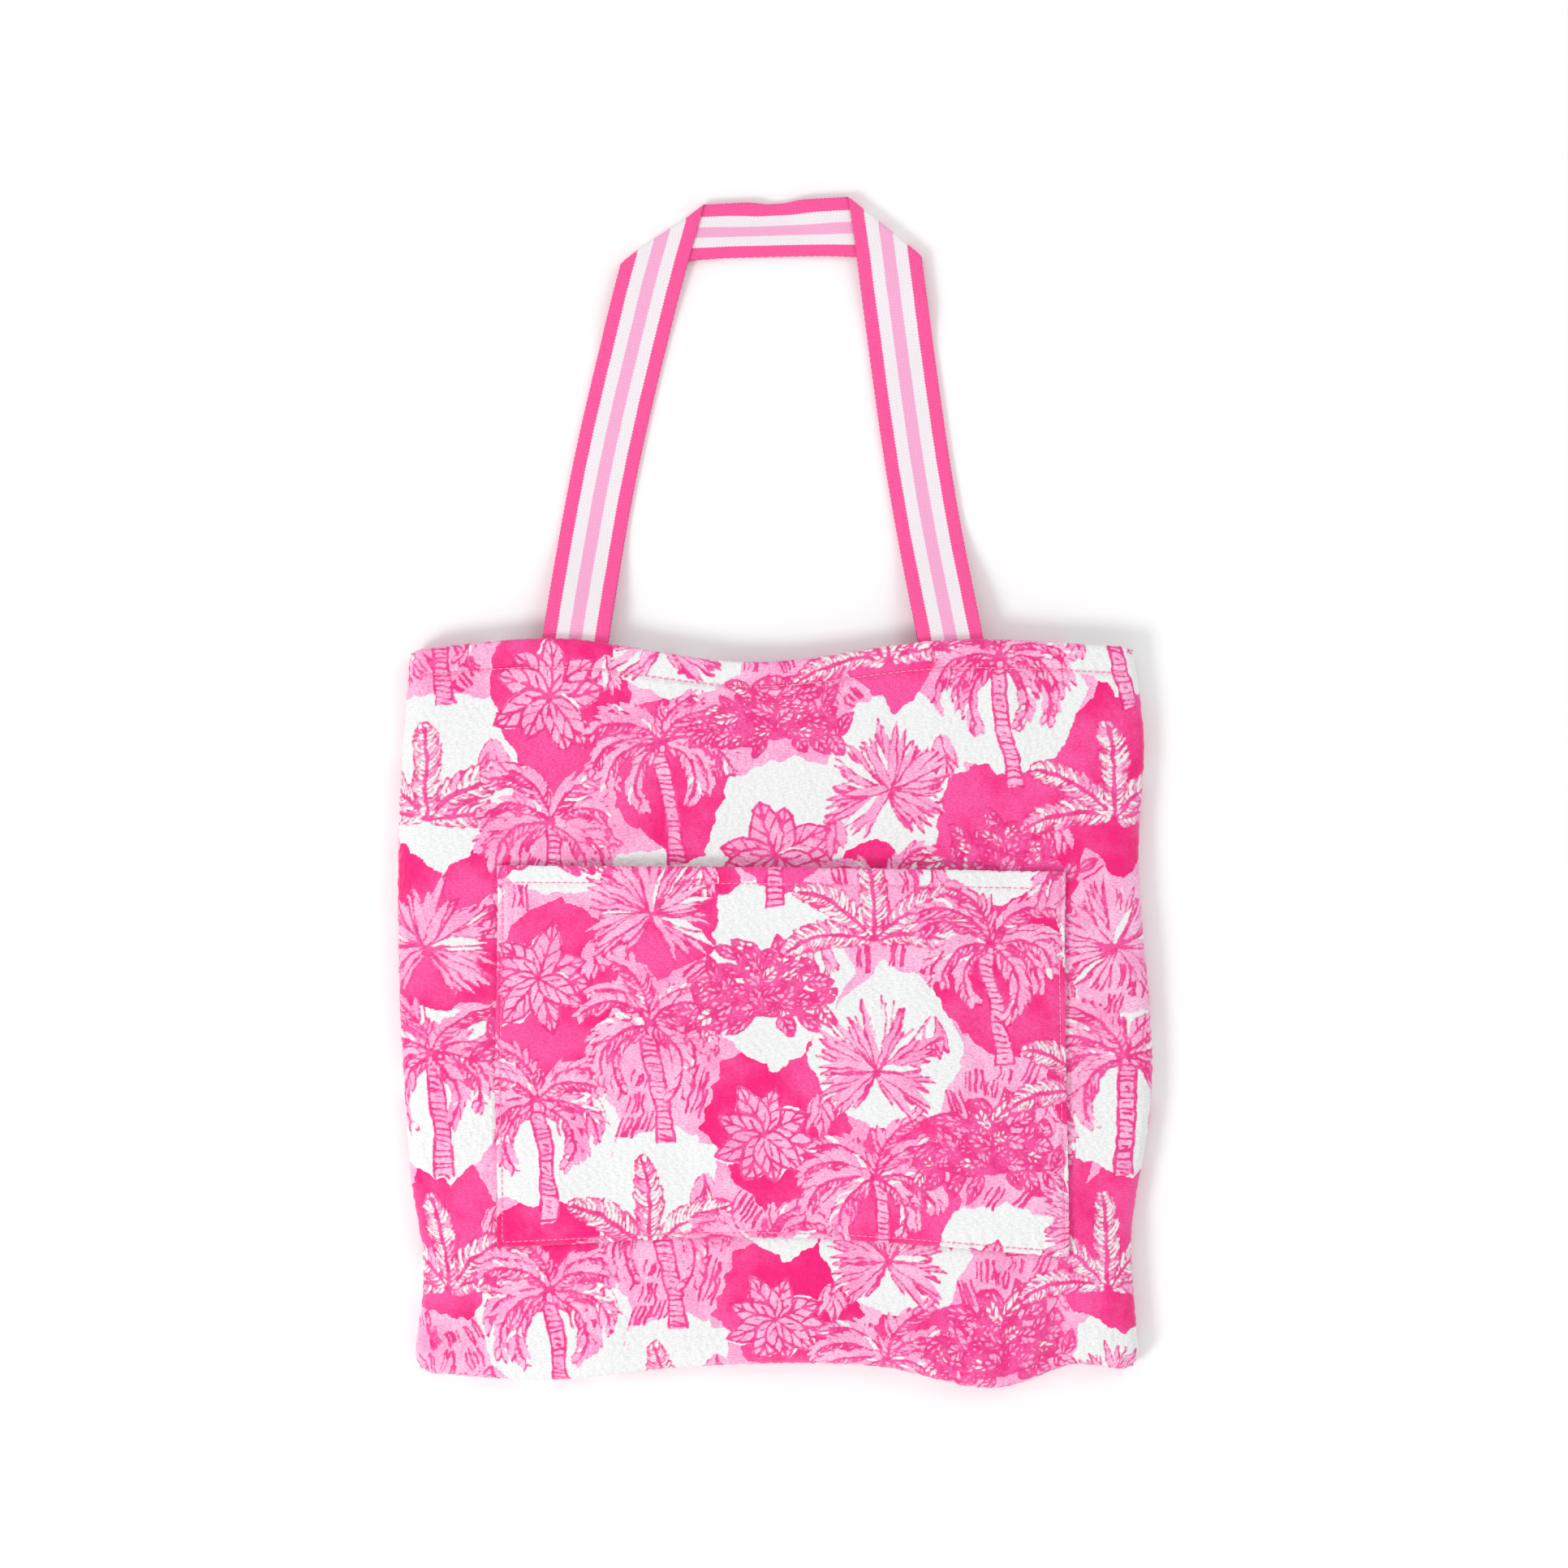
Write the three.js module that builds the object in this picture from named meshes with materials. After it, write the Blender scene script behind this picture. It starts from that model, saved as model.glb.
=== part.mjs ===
// A flat terry beach bag lying on its back. Millimetres.
// +X is the wearer's right as the front is looked at, +Y runs from the bottom fold to the mouth,
// +Z comes out of the front. The origin is the middle of the back panel's outer face.

import * as THREE from 'three';

// ---- driving sizes ----

const BAG_W = 428;             // across the mouth
const BAG_H = 428;             // bottom fold to mouth edge
const SIDE_BULGE = 5;          // how far each side bows out at half height
const CORNER_R = 22;           // rounding of the two bottom corners
const CLOTH = 2.6;             // velour terry
const GAP = 0.3;               // clearance between two pieces that touch

const SEAM_W = 10;             // allowance turned inside at the sides and the bottom
const HEM_W = 16;              // turned top edge of the front and back panels
const MOUTH_GAP = 7;           // free height of the mouth between the two handles' ends
const EDGE_ROLL = 36;          // width over which the front panel rises from its seams

const THREAD_W = 1.2;
const THREAD_T = 0.7;
const OVERLOCK_W = 1.4;

const STRAP_W = 38;            // webbing
const STRAP_T = 1.6;
const STRAP_TAIL = 18;         // length sewn inside the hem
const HANDLE_REACH = 262;      // mouth edge to the far edge of the crossbar
const FEET_SPREAD = 220;       // between the middles of a handle's two feet
const FEET_SHIFT = -7;         // the feet's common middle, off the bag's centre line
const HEAD_SPREAD = 134;       // between the middles of its two upper corners
const HEAD_SHIFT = -1;
const CROSSBAR_TILT = 4;       // the left corner lies this much lower than the right
const STRAP_SPLAY = 0.3;       // steepest lean of a handle's end that the back hem's stitches clear, radians
const STITCH_CLIMB = 3;        // width over which those stitches step up onto a handle's end
const FRONT_RUN = 80;          // length over which the front handle comes down from its hem
const BACK_RUN = 28;
const TACK_W = 32;             // row of stitches across a handle's end
const TACK_H = 2.4;
const TACK_INSET = 4;          // below the mouth edge

const POCKET_LEFT = 51;        // margins from the bag's edges to the pocket's
const POCKET_RIGHT = 44;
const POCKET_BELOW = 75;
const POCKET_ABOVE = 129;
const POCKET_HEM = 10;
const POCKET_GAP = 8;          // how far the pocket stands off the front panel in the middle
const POCKET_ROLL = 30;        // width over which it rises to that
const POCKET_STITCH = 3;       // its edge to the row of stitches that holds it

// ---- levels and lines that follow from them ----

const MOUTH_Y = BAG_H / 2;
const BOTTOM_Y = -BAG_H / 2;
const BACK_FLAP_TOP = 2 * CLOTH;
const BACK_STRAP_Z = BACK_FLAP_TOP + GAP;
const FRONT_STRAP_Z = BACK_STRAP_Z + STRAP_T + MOUTH_GAP;
const FRONT_Z = FRONT_STRAP_Z + STRAP_T + GAP + CLOTH;     // inner face of the front panel
const SEAM_Z = CLOTH + GAP;
const SEAM_T = 2 * CLOTH;
const EDGE_Z = SEAM_Z + SEAM_T + GAP;                      // the same face over the seams
const HEM_Y = MOUTH_Y - HEM_W;
const HEM_STEP = 0.6;                                      // slope at the turned edge's inner end
const POCKET_TOP_Y = MOUTH_Y - POCKET_ABOVE;
const POCKET_BOTTOM_Y = BOTTOM_Y + POCKET_BELOW;
const POCKET_LEFT_X = -BAG_W / 2 + POCKET_LEFT;
const POCKET_RIGHT_X = BAG_W / 2 - POCKET_RIGHT;
const POCKET_HEM_Y = POCKET_TOP_Y - POCKET_HEM;

// ---- helpers ----

const lerp = THREE.MathUtils.lerp;
const smooth = (value, from, to) => THREE.MathUtils.smoothstep(value, from, to);

function spaced(from, to, count) {
  return Array.from({ length: count + 1 }, (_, i) => lerp(from, to, i / count));
}

function inOrder(...values) {
  return [...new Set(values)].sort((a, b) => a - b);
}

// A closed sheet: place(point, column, row, isTop) puts each corner of a grid of cells.
function sheet(columns, rows, place) {
  const box = new THREE.BoxGeometry(1, 1, 1, columns.length - 1, rows.length - 1, 1);
  const corners = box.attributes.position;
  const point = new THREE.Vector3();
  for (let i = 0; i < corners.count; i += 1) {
    const column = columns[Math.round((corners.getX(i) + 0.5) * (columns.length - 1))];
    const row = rows[Math.round((corners.getY(i) + 0.5) * (rows.length - 1))];
    place(point, column, row, corners.getZ(i) > 0);
    corners.setXYZ(i, point.x, point.y, point.z);
  }
  box.computeVertexNormals();
  return box;
}

const bag = new THREE.Group();

function add(name, geometry, look) {
  const mesh = new THREE.Mesh(geometry, new THREE.MeshStandardMaterial({ ...look, metalness: 0 }));
  mesh.name = name;
  bag.add(mesh);
}

const TERRY = { color: 0xf43f9a, roughness: 0.95 };
const POCKET_TERRY = { color: 0xf75fae, roughness: 0.95 };
const WEBBING = { color: 0xfb86bd, roughness: 0.8 };
const THREAD = { color: 0xe8187f, roughness: 0.7 };

// ---- the bag's outline and the front panel's height ----

function cornerCut(y) {
  const depth = Math.min(y - BOTTOM_Y, CORNER_R);
  return CORNER_R - Math.sqrt(CORNER_R ** 2 - (CORNER_R - depth) ** 2);
}

function halfWidth(y) {
  const bow = Math.sin((Math.PI * (y - BOTTOM_Y)) / BAG_H);
  return BAG_W / 2 + SIDE_BULGE * bow - cornerCut(y);
}

function rise(distance, run) {
  return Math.sin((Math.PI / 2) * THREE.MathUtils.clamp(distance / run, 0, 1));
}

function frontInner(x, y) {
  const fromSide = rise(halfWidth(y) - Math.abs(x), EDGE_ROLL);
  const fromBottom = rise(y - BOTTOM_Y, EDGE_ROLL);
  return lerp(EDGE_Z, FRONT_Z, fromSide * fromBottom);
}

const frontOuter = (x, y) => frontInner(x, y) + CLOTH;

// Columns are shares of the half width, closer together where the panel rises.
const ROLL_SHARES = [0, 0.2, 0.4, 0.7, 1];
const rollColumns = ROLL_SHARES.map((share) => 1 - (share * EDGE_ROLL) / (BAG_W / 2));
const PANEL_COLUMNS = inOrder(
  ...rollColumns,
  ...rollColumns.map((share) => -share),
  -0.4, 0, 0.4,
);
const PANEL_ROWS = inOrder(
  ...spaced(0, Math.PI / 2, 4).map((angle) => BOTTOM_Y + CORNER_R * (1 - Math.cos(angle))),
  BOTTOM_Y + EDGE_ROLL * 0.8,
  ...spaced(BOTTOM_Y + EDGE_ROLL, HEM_Y - HEM_STEP, 6),
  HEM_Y,
  HEM_Y + THREAD_W,
  MOUTH_Y,
);

// ---- the two panels, each with its top edge turned in ----

function makePanels() {
  const turned = (y) => (y >= HEM_Y ? CLOTH : 0);
  add('back_panel', sheet(PANEL_COLUMNS, PANEL_ROWS, (point, share, y, isTop) => {
    point.set(share * halfWidth(y), y, isTop ? CLOTH + turned(y) : 0);
  }), TERRY);
  add('front_panel', sheet(PANEL_COLUMNS, PANEL_ROWS, (point, share, y, isTop) => {
    const x = share * halfWidth(y);
    point.set(x, y, isTop ? frontOuter(x, y) : frontInner(x, y) - turned(y));
  }), TERRY);
}

// ---- seams: allowances turned inside, and the overlock that binds their edges ----

function makeSideSeam(name, side) {
  const rows = spaced(BOTTOM_Y + SEAM_W + GAP, HEM_Y - HEM_STEP - GAP, 10);
  const strip = (outer, inner) => sheet([outer, inner], rows, (point, inset, y, isTop) => {
    point.set(side * (halfWidth(y) - inset), y, isTop ? SEAM_Z + SEAM_T : SEAM_Z);
  });
  // The grid keeps its faces outward when its columns run towards +X.
  const facing = (outer, inner) => (side > 0 ? strip(inner, outer) : strip(outer, inner));
  add(`${name}_side_seam`, facing(0, SEAM_W), TERRY);
  add(`${name}_side_seam_thread`, facing(SEAM_W + GAP, SEAM_W + GAP + OVERLOCK_W), THREAD);
}

function makeBottomSeam() {
  const seamRows = inOrder(...PANEL_ROWS.filter((y) => y < BOTTOM_Y + SEAM_W), BOTTOM_Y + SEAM_W);
  add('bottom_seam', sheet([-1, 1], seamRows, (point, share, y, isTop) => {
    point.set(share * halfWidth(y), y, isTop ? SEAM_Z + SEAM_T : SEAM_Z);
  }), TERRY);
  const threadY = BOTTOM_Y + SEAM_W + GAP;
  const reach = halfWidth(threadY) - SEAM_W - OVERLOCK_W - 3 * GAP;
  add('bottom_seam_thread', sheet([-reach, reach], [threadY, threadY + OVERLOCK_W], (point, x, y, isTop) => {
    point.set(x, y, isTop ? SEAM_Z + SEAM_T : SEAM_Z);
  }), THREAD);
}

// ---- handles ----

const footX = (side) => FEET_SHIFT + (side * FEET_SPREAD) / 2;
const headX = (side) => HEAD_SHIFT + (side * HEAD_SPREAD) / 2;
const crossbarFarY = (side) => MOUTH_Y + HANDLE_REACH - (side < 0 ? CROSSBAR_TILT : 0);
const crossbarNearY = (side) => crossbarFarY(side) - STRAP_W;

// x of a leg's edge at height y: outward 1 is the edge away from the hand, -1 the edge next to it.
function legEdge(side, y, outward) {
  const length = crossbarNearY(side) - MOUTH_Y;
  const lean = Math.atan2(headX(side) - footX(side), length);
  const middle = footX(side) + (headX(side) - footX(side)) * ((y - MOUTH_Y) / length);
  return middle + (side * outward * STRAP_W) / 2 / Math.cos(lean);
}

// The loop as pairs of points, one on its inner and one on its outer edge, from the left foot to the right.
function loopStations() {
  const leg = (side) => spaced(MOUTH_Y + GAP, crossbarNearY(side), 12).map((y) => [
    [legEdge(side, y, -1), y],
    [legEdge(side, y, 1), y],
  ]);
  // The strap is folded over on the diagonal at each corner, which cuts the corner off.
  const corner = (side) => [
    [legEdge(side, crossbarNearY(side), -1) - side * STRAP_W * 0.1, crossbarNearY(side)],
    [legEdge(side, crossbarFarY(side), -1), crossbarFarY(side)],
  ];
  return [...leg(-1), corner(-1), corner(1), ...leg(1).reverse()];
}

// A strap leaves the mouth at one height and settles to another over a short run.
function makeLoop(name, mouthZ, restZ, run) {
  const level = (y) => lerp(mouthZ, restZ, smooth(y, MOUTH_Y, MOUTH_Y + run));
  add(name, sheet(loopStations(), [0, 1], (point, station, edge, isTop) => {
    const [x, y] = station[edge];
    point.set(x, y, level(y) + (isTop ? STRAP_T : 0));
  }), WEBBING);
}

function makeHandleEnd(name, side, strapZ, tackZ) {
  const half = STRAP_W / 2 / Math.cos(Math.atan2(headX(side) - footX(side), HANDLE_REACH - STRAP_W));
  const x = footX(side);
  const block = (halfWide, low, high, z, thick) => sheet(
    [x - halfWide, x + halfWide], [low, high],
    (point, across, y, isTop) => point.set(across, y, isTop ? z + thick : z),
  );
  add(`${name}_end`, block(half, MOUTH_Y - STRAP_TAIL, MOUTH_Y, strapZ, STRAP_T), WEBBING);
  const tackY = MOUTH_Y - TACK_INSET;
  add(`${name}_tack`, block(TACK_W / 2, tackY - TACK_H, tackY, tackZ, THREAD_T), THREAD);
}

function makeHandles() {
  makeLoop('back_handle', BACK_STRAP_Z, 0, BACK_RUN);
  makeLoop('front_handle', FRONT_STRAP_Z, STRAP_T + GAP, FRONT_RUN);
  for (const [word, side] of [['left', -1], ['right', 1]]) {
    makeHandleEnd(`back_handle_${word}`, side, BACK_STRAP_Z, BACK_STRAP_Z + STRAP_T + GAP);
    makeHandleEnd(`front_handle_${word}`, side, FRONT_STRAP_Z, FRONT_STRAP_Z - GAP - THREAD_T);
  }
}

// ---- hem threads ----

// Inside the back hem the row of stitches climbs over the handle's two ends.
const CLIMB_HALF = STRAP_W / 2 / Math.cos(STRAP_SPLAY) + GAP;

function backHemLevel(x) {
  const over = (side) => 1 - smooth(Math.abs(x - footX(side)) - CLIMB_HALF, 0, STITCH_CLIMB);
  return BACK_FLAP_TOP + GAP + (STRAP_T + GAP) * Math.max(over(-1), over(1));
}

function makeHemThreads() {
  const rows = [HEM_Y, HEM_Y + THREAD_W];
  const columns = PANEL_COLUMNS.slice(1, -1);
  add('front_hem_thread', sheet(columns, rows, (point, share, y, isTop) => {
    const x = share * halfWidth(y);
    point.set(x, y, frontOuter(x, y) + GAP + (isTop ? THREAD_T : 0));
  }), THREAD);
  const reach = BAG_W / 2 - SEAM_W;
  const steps = [-CLIMB_HALF - STITCH_CLIMB, -CLIMB_HALF, CLIMB_HALF, CLIMB_HALF + STITCH_CLIMB];
  const climbs = [-1, 1].flatMap((side) => steps.map((step) => footX(side) + step));
  add('back_hem_thread', sheet(inOrder(-reach, ...climbs, reach), rows, (point, x, y, isTop) => {
    point.set(x, y, backHemLevel(x) + (isTop ? THREAD_T : 0));
  }), THREAD);
}

// ---- patch pocket ----

function pocketInner(x, y) {
  const fromLeft = rise(x - POCKET_LEFT_X, POCKET_ROLL);
  const fromRight = rise(POCKET_RIGHT_X - x, POCKET_ROLL);
  const fromBottom = rise(y - POCKET_BOTTOM_Y, POCKET_ROLL);
  return frontOuter(x, y) + GAP + POCKET_GAP * fromLeft * fromRight * fromBottom;
}

// The turned hem fills the room behind the pocket's top edge, and is squeezed thin where it is sewn down.
function pocketBack(x, y) {
  const flap = y >= POCKET_HEM_Y ? CLOTH : 0;
  return Math.max(pocketInner(x, y) - flap, frontOuter(x, y) + GAP);
}

const pocketOuter = (x, y) => pocketInner(x, y) + CLOTH;

// Insets from a sewn edge: the row of stitches, then the stretch where the pocket rises.
const POCKET_INSETS = [
  0, POCKET_STITCH, POCKET_STITCH + THREAD_W, ...[0.3, 0.6, 1].map((share) => share * POCKET_ROLL),
];
const POCKET_COLUMNS = inOrder(
  ...POCKET_INSETS.flatMap((inset) => [POCKET_LEFT_X + inset, POCKET_RIGHT_X - inset]),
  ...spaced(POCKET_LEFT_X + POCKET_ROLL, POCKET_RIGHT_X - POCKET_ROLL, 4),
);
const POCKET_ROWS = inOrder(
  ...POCKET_INSETS.map((inset) => POCKET_BOTTOM_Y + inset),
  ...spaced(POCKET_BOTTOM_Y + POCKET_ROLL, POCKET_HEM_Y - HEM_STEP, 4),
  POCKET_HEM_Y,
  POCKET_HEM_Y + THREAD_W,
  POCKET_TOP_Y,
);

// Stations of the row of stitches down the left side, along the bottom and up the right side.
function pocketStitchStations() {
  const near = POCKET_STITCH;
  const far = POCKET_STITCH + THREAD_W;
  const rows = POCKET_ROWS.filter((y) => y > POCKET_BOTTOM_Y + far && y <= POCKET_HEM_Y - HEM_STEP);
  const columns = POCKET_COLUMNS.filter((x) => x > POCKET_LEFT_X + far && x < POCKET_RIGHT_X - far);
  const upright = (edgeX, inward) => rows.map((y) => [[edgeX + inward * near, y], [edgeX + inward * far, y]]);
  const corner = (edgeX, inward) => [
    [edgeX + inward * near, POCKET_BOTTOM_Y + near],
    [edgeX + inward * far, POCKET_BOTTOM_Y + far],
  ];
  return [
    ...upright(POCKET_LEFT_X, 1).reverse(),
    corner(POCKET_LEFT_X, 1),
    ...columns.map((x) => [[x, POCKET_BOTTOM_Y + near], [x, POCKET_BOTTOM_Y + far]]),
    corner(POCKET_RIGHT_X, -1),
    ...upright(POCKET_RIGHT_X, -1),
  ];
}

function makePocket() {
  add('pocket_panel', sheet(POCKET_COLUMNS, POCKET_ROWS, (point, x, y, isTop) => {
    point.set(x, y, isTop ? pocketOuter(x, y) : pocketBack(x, y));
  }), POCKET_TERRY);
  const hemColumns = POCKET_COLUMNS.slice(1, -1);
  const hemRows = [POCKET_HEM_Y, POCKET_HEM_Y + THREAD_W];
  add('pocket_hem_thread', sheet(hemColumns, hemRows, (point, x, y, isTop) => {
    point.set(x, y, pocketOuter(x, y) + GAP + (isTop ? THREAD_T : 0));
  }), THREAD);
  add('pocket_seam_thread', sheet(pocketStitchStations(), [0, 1], (point, station, edge, isTop) => {
    const [x, y] = station[edge];
    point.set(x, y, pocketOuter(x, y) + GAP + (isTop ? THREAD_T : 0));
  }), THREAD);
}

makePanels();
makeSideSeam('left', -1);
makeSideSeam('right', 1);
makeBottomSeam();
makeHandles();
makeHemThreads();
makePocket();

export default bag;
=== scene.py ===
"""Looks of a flat terry beach bag: printed velour cloths, striped webbing handles, stitching.

Lengths inside the functions are millimetres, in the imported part's own frame: +X right, +Y from the
bottom fold to the mouth, +Z out of the front. mesh_piece() turns them into metres.
"""
import math

import bpy
import numpy as np
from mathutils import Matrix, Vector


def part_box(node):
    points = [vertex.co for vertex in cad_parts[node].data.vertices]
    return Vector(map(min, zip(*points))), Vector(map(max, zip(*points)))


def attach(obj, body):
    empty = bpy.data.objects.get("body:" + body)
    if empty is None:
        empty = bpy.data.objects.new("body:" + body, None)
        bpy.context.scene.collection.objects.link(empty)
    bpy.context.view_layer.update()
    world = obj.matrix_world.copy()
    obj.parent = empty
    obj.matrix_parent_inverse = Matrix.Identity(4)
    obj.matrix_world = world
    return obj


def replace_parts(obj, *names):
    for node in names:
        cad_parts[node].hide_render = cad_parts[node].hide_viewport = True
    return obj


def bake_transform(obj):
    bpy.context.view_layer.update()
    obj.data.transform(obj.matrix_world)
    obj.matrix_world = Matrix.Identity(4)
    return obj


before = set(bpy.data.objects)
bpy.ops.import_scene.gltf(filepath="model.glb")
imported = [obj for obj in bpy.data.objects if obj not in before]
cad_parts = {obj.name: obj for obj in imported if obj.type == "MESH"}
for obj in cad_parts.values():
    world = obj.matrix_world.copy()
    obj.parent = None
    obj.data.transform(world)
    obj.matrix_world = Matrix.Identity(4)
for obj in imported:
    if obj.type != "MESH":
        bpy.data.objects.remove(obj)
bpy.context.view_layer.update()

MM = 0.001


def cad(node):
    """Lowest and highest corner of a CAD node, in mm."""
    low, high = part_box(node)
    return np.array(low) / MM, np.array(high) / MM


BACK_LOW = cad("back_panel")[0]
FRONT_LOW, FRONT_HIGH = cad("front_panel")
POCKET_HIGH = cad("pocket_panel")[1]
HEM_THREAD_LOW = cad("front_hem_thread")[0]
POCKET_HEM_LOW = cad("pocket_hem_thread")[0]
SEAM_LOW, SEAM_HIGH = cad("left_side_seam")

MOUTH_Y = FRONT_HIGH[1]
BOTTOM_Y = FRONT_LOW[1]
HEM_W = MOUTH_Y - HEM_THREAD_LOW[1]
POCKET_HEM_W = POCKET_HIGH[1] - POCKET_HEM_LOW[1]
STRAP_W = 38.0
STRAP_T = 1.6
CLOTH_T = 2.6
SEAM_Z = (SEAM_LOW[2] + SEAM_HIGH[2]) / 2 + 1.0
TOP_Z = FRONT_HIGH[2]


# ---------------------------------------------------------------- small maths

def smooth(value, start, end):
    t = np.clip((value - start) / (end - start), 0, 1)
    return t * t * (3 - 2 * t)


def bump(value, middle, width):
    return np.exp(-(((value - middle) / width) ** 2))


def curve(points, at, column=0):
    """A smooth curve through a few (position, value) points, read at `at`."""
    points = np.array(points, float)
    xs, ys = points[:, 0], points[:, 1 + column]
    slopes = np.gradient(ys, xs)
    at = np.clip(at, xs[0], xs[-1])
    i = np.clip(np.searchsorted(xs, at) - 1, 0, len(xs) - 2)
    h = xs[i + 1] - xs[i]
    t = (at - xs[i]) / h
    return (
        ys[i] * (2 * t**3 - 3 * t**2 + 1)
        + ys[i + 1] * (3 * t**2 - 2 * t**3)
        + slopes[i] * h * (t**3 - 2 * t**2 + t)
        + slopes[i + 1] * h * (t**3 - t**2)
    )


def ripple(x, y, seed, size, terms=7):
    """A gentle random undulation of about unit height with features `size` mm across."""
    rng = np.random.default_rng(seed)
    total = np.zeros(np.broadcast(x, y).shape)
    for _ in range(terms):
        angle = rng.uniform(0, math.pi)
        wave = size * rng.uniform(0.7, 1.6)
        phase = rng.uniform(0, 2 * math.pi)
        along = x * math.cos(angle) + y * math.sin(angle)
        total += np.sin(2 * math.pi * along / wave + phase)
    return total / math.sqrt(terms)


def crease(x, y, start, end, width, height):
    """A ridge (or, with a negative height, a valley) between two points, fading at both ends."""
    start, end = np.array(start, float), np.array(end, float)
    run = end - start
    length = np.hypot(*run)
    run = run / length
    along = (x - start[0]) * run[0] + (y - start[1]) * run[1]
    off = -(x - start[0]) * run[1] + (y - start[1]) * run[0]
    fade = smooth(along, -0.15 * length, 0.3 * length) * smooth(along, 1.15 * length, 0.6 * length)
    return height * fade * np.exp(-((off / width) ** 2))


# ---------------------------------------------------------------- camera

def make_camera():
    """Straight above the bag, the mouth towards the top of the picture."""
    view_width = 917.7
    aim = (5.2, 133.5, TOP_Z)
    data = bpy.data.cameras.new("camera")
    data.lens = 85
    data.sensor_width = 36
    height = view_width * data.lens / data.sensor_width
    camera = bpy.data.objects.new("camera", data)
    camera.location = (aim[0] * MM, aim[1] * MM, (aim[2] + height) * MM)
    data.clip_end = 100
    bpy.context.scene.collection.objects.link(camera)
    bpy.context.scene.camera = camera


make_camera()


# ---------------------------------------------------------------- the print, drawn as ink on a fine grid

class Canvas:
    """Three ink coverages, 0 to 1, over a rectangle of cloth: light pink, hot pink and pen line."""

    CELL = 0.55

    def __init__(self, low, high):
        self.low = np.array(low, float)
        count = np.ceil((np.array(high) - self.low) / self.CELL).astype(int) + 1
        self.shape = (count[1], count[0])
        self.light = np.zeros(self.shape)
        self.hot = np.zeros(self.shape)
        self.line = np.zeros(self.shape)
        self.pressure = 1 + 0.42 * self.cloud(5, 5.0)

    def cloud(self, seed, size):
        """Smooth random values between -1 and 1, with features of one size in millimetres."""
        rng = np.random.default_rng(seed)
        rows, columns = (int(n * self.CELL / size) + 3 for n in self.shape)
        coarse = rng.uniform(-1, 1, (rows, columns))
        v, u = (np.arange(n) * self.CELL / size for n in self.shape)
        i, j = v.astype(int), u.astype(int)
        fv, fu = smooth(v - i, 0, 1)[:, None], smooth(u - j, 0, 1)[None, :]
        low = coarse[i][:, j] * (1 - fu) + coarse[i][:, j + 1] * fu
        high = coarse[i + 1][:, j] * (1 - fu) + coarse[i + 1][:, j + 1] * fu
        return low * (1 - fv) + high * fv

    def loosen(self, seed):
        """Shifts everything a little, here one way and there another, as a hand would have drawn it."""
        x = self.low[0] + np.arange(self.shape[1]) * self.CELL
        y = self.low[1] + np.arange(self.shape[0]) * self.CELL
        x, y = np.meshgrid(x, y)
        x = x + 1.5 * self.cloud(seed, 17) + 0.75 * self.cloud(seed + 1, 5)
        y = y + 1.5 * self.cloud(seed + 2, 17) + 0.75 * self.cloud(seed + 3, 5)
        layers = (self.light, self.hot, self.line)
        self.light, self.hot, self.line = (self.read(layer, x, y) for layer in layers)

    def window(self, points, margin):
        """The cells round some points, as slices, with their places, or None if they are all outside."""
        low = np.floor((points.min(0) - margin - self.low) / self.CELL).astype(int)
        high = np.ceil((points.max(0) + margin - self.low) / self.CELL).astype(int) + 1
        x0, x1 = max(low[0], 0), min(high[0], self.shape[1])
        y0, y1 = max(low[1], 0), min(high[1], self.shape[0])
        if x0 >= x1 or y0 >= y1:
            return None
        x = self.low[0] + np.arange(x0, x1) * self.CELL
        y = self.low[1] + np.arange(y0, y1) * self.CELL
        return (slice(y0, y1), slice(x0, x1)), x[None, :], y[:, None]

    def fill(self, outline, light=0.0, hot=0.0):
        """Covers what is drawn inside a closed outline with one ink, or with bare white cloth."""
        points = np.asarray(outline, float)
        found = self.window(points, self.CELL)
        if found is None:
            return
        cells, x, y = found
        inside = np.zeros((y.shape[0], x.shape[1]), bool)
        for (ax, ay), (bx, by) in zip(points, np.roll(points, -1, axis=0)):
            if ay != by:
                crossing = (ay > y) != (by > y)
                inside ^= crossing & (x < ax + (y - ay) * (bx - ax) / (by - ay))
        self.light[cells][inside] = light
        self.hot[cells][inside] = hot
        self.line[cells][inside] = 0

    def stroke(self, points, width, ink=1.0):
        """A pen line, on top of everything."""
        points = np.asarray(points, float)
        for a, b in zip(points[:-1], points[1:]):
            found = self.window(np.array([a, b]), width)
            if found is None:
                continue
            cells, x, y = found
            run = b - a
            t = np.clip(((x - a[0]) * run[0] + (y - a[1]) * run[1]) / max(run @ run, 1e-9), 0, 1)
            away = np.hypot(x - a[0] - t * run[0], y - a[1] - t * run[1])
            cover = ink * np.clip(0.5 + (width / 2 * self.pressure[cells] - away) / self.CELL, 0, 1)
            self.line[cells] = np.maximum(self.line[cells], cover)

    def read(self, layer, x, y):
        """One layer at given places, interpolated between cells."""
        u = np.clip((x - self.low[0]) / self.CELL, 0, self.shape[1] - 1.001)
        v = np.clip((y - self.low[1]) / self.CELL, 0, self.shape[0] - 1.001)
        i, j = v.astype(int), u.astype(int)
        fv, fu = v - i, u - j
        below = layer[i, j] * (1 - fu) + layer[i, j + 1] * fu
        above = layer[i + 1, j] * (1 - fu) + layer[i + 1, j + 1] * fu
        return below * (1 - fv) + above * fv


PEN = 1.3


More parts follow.
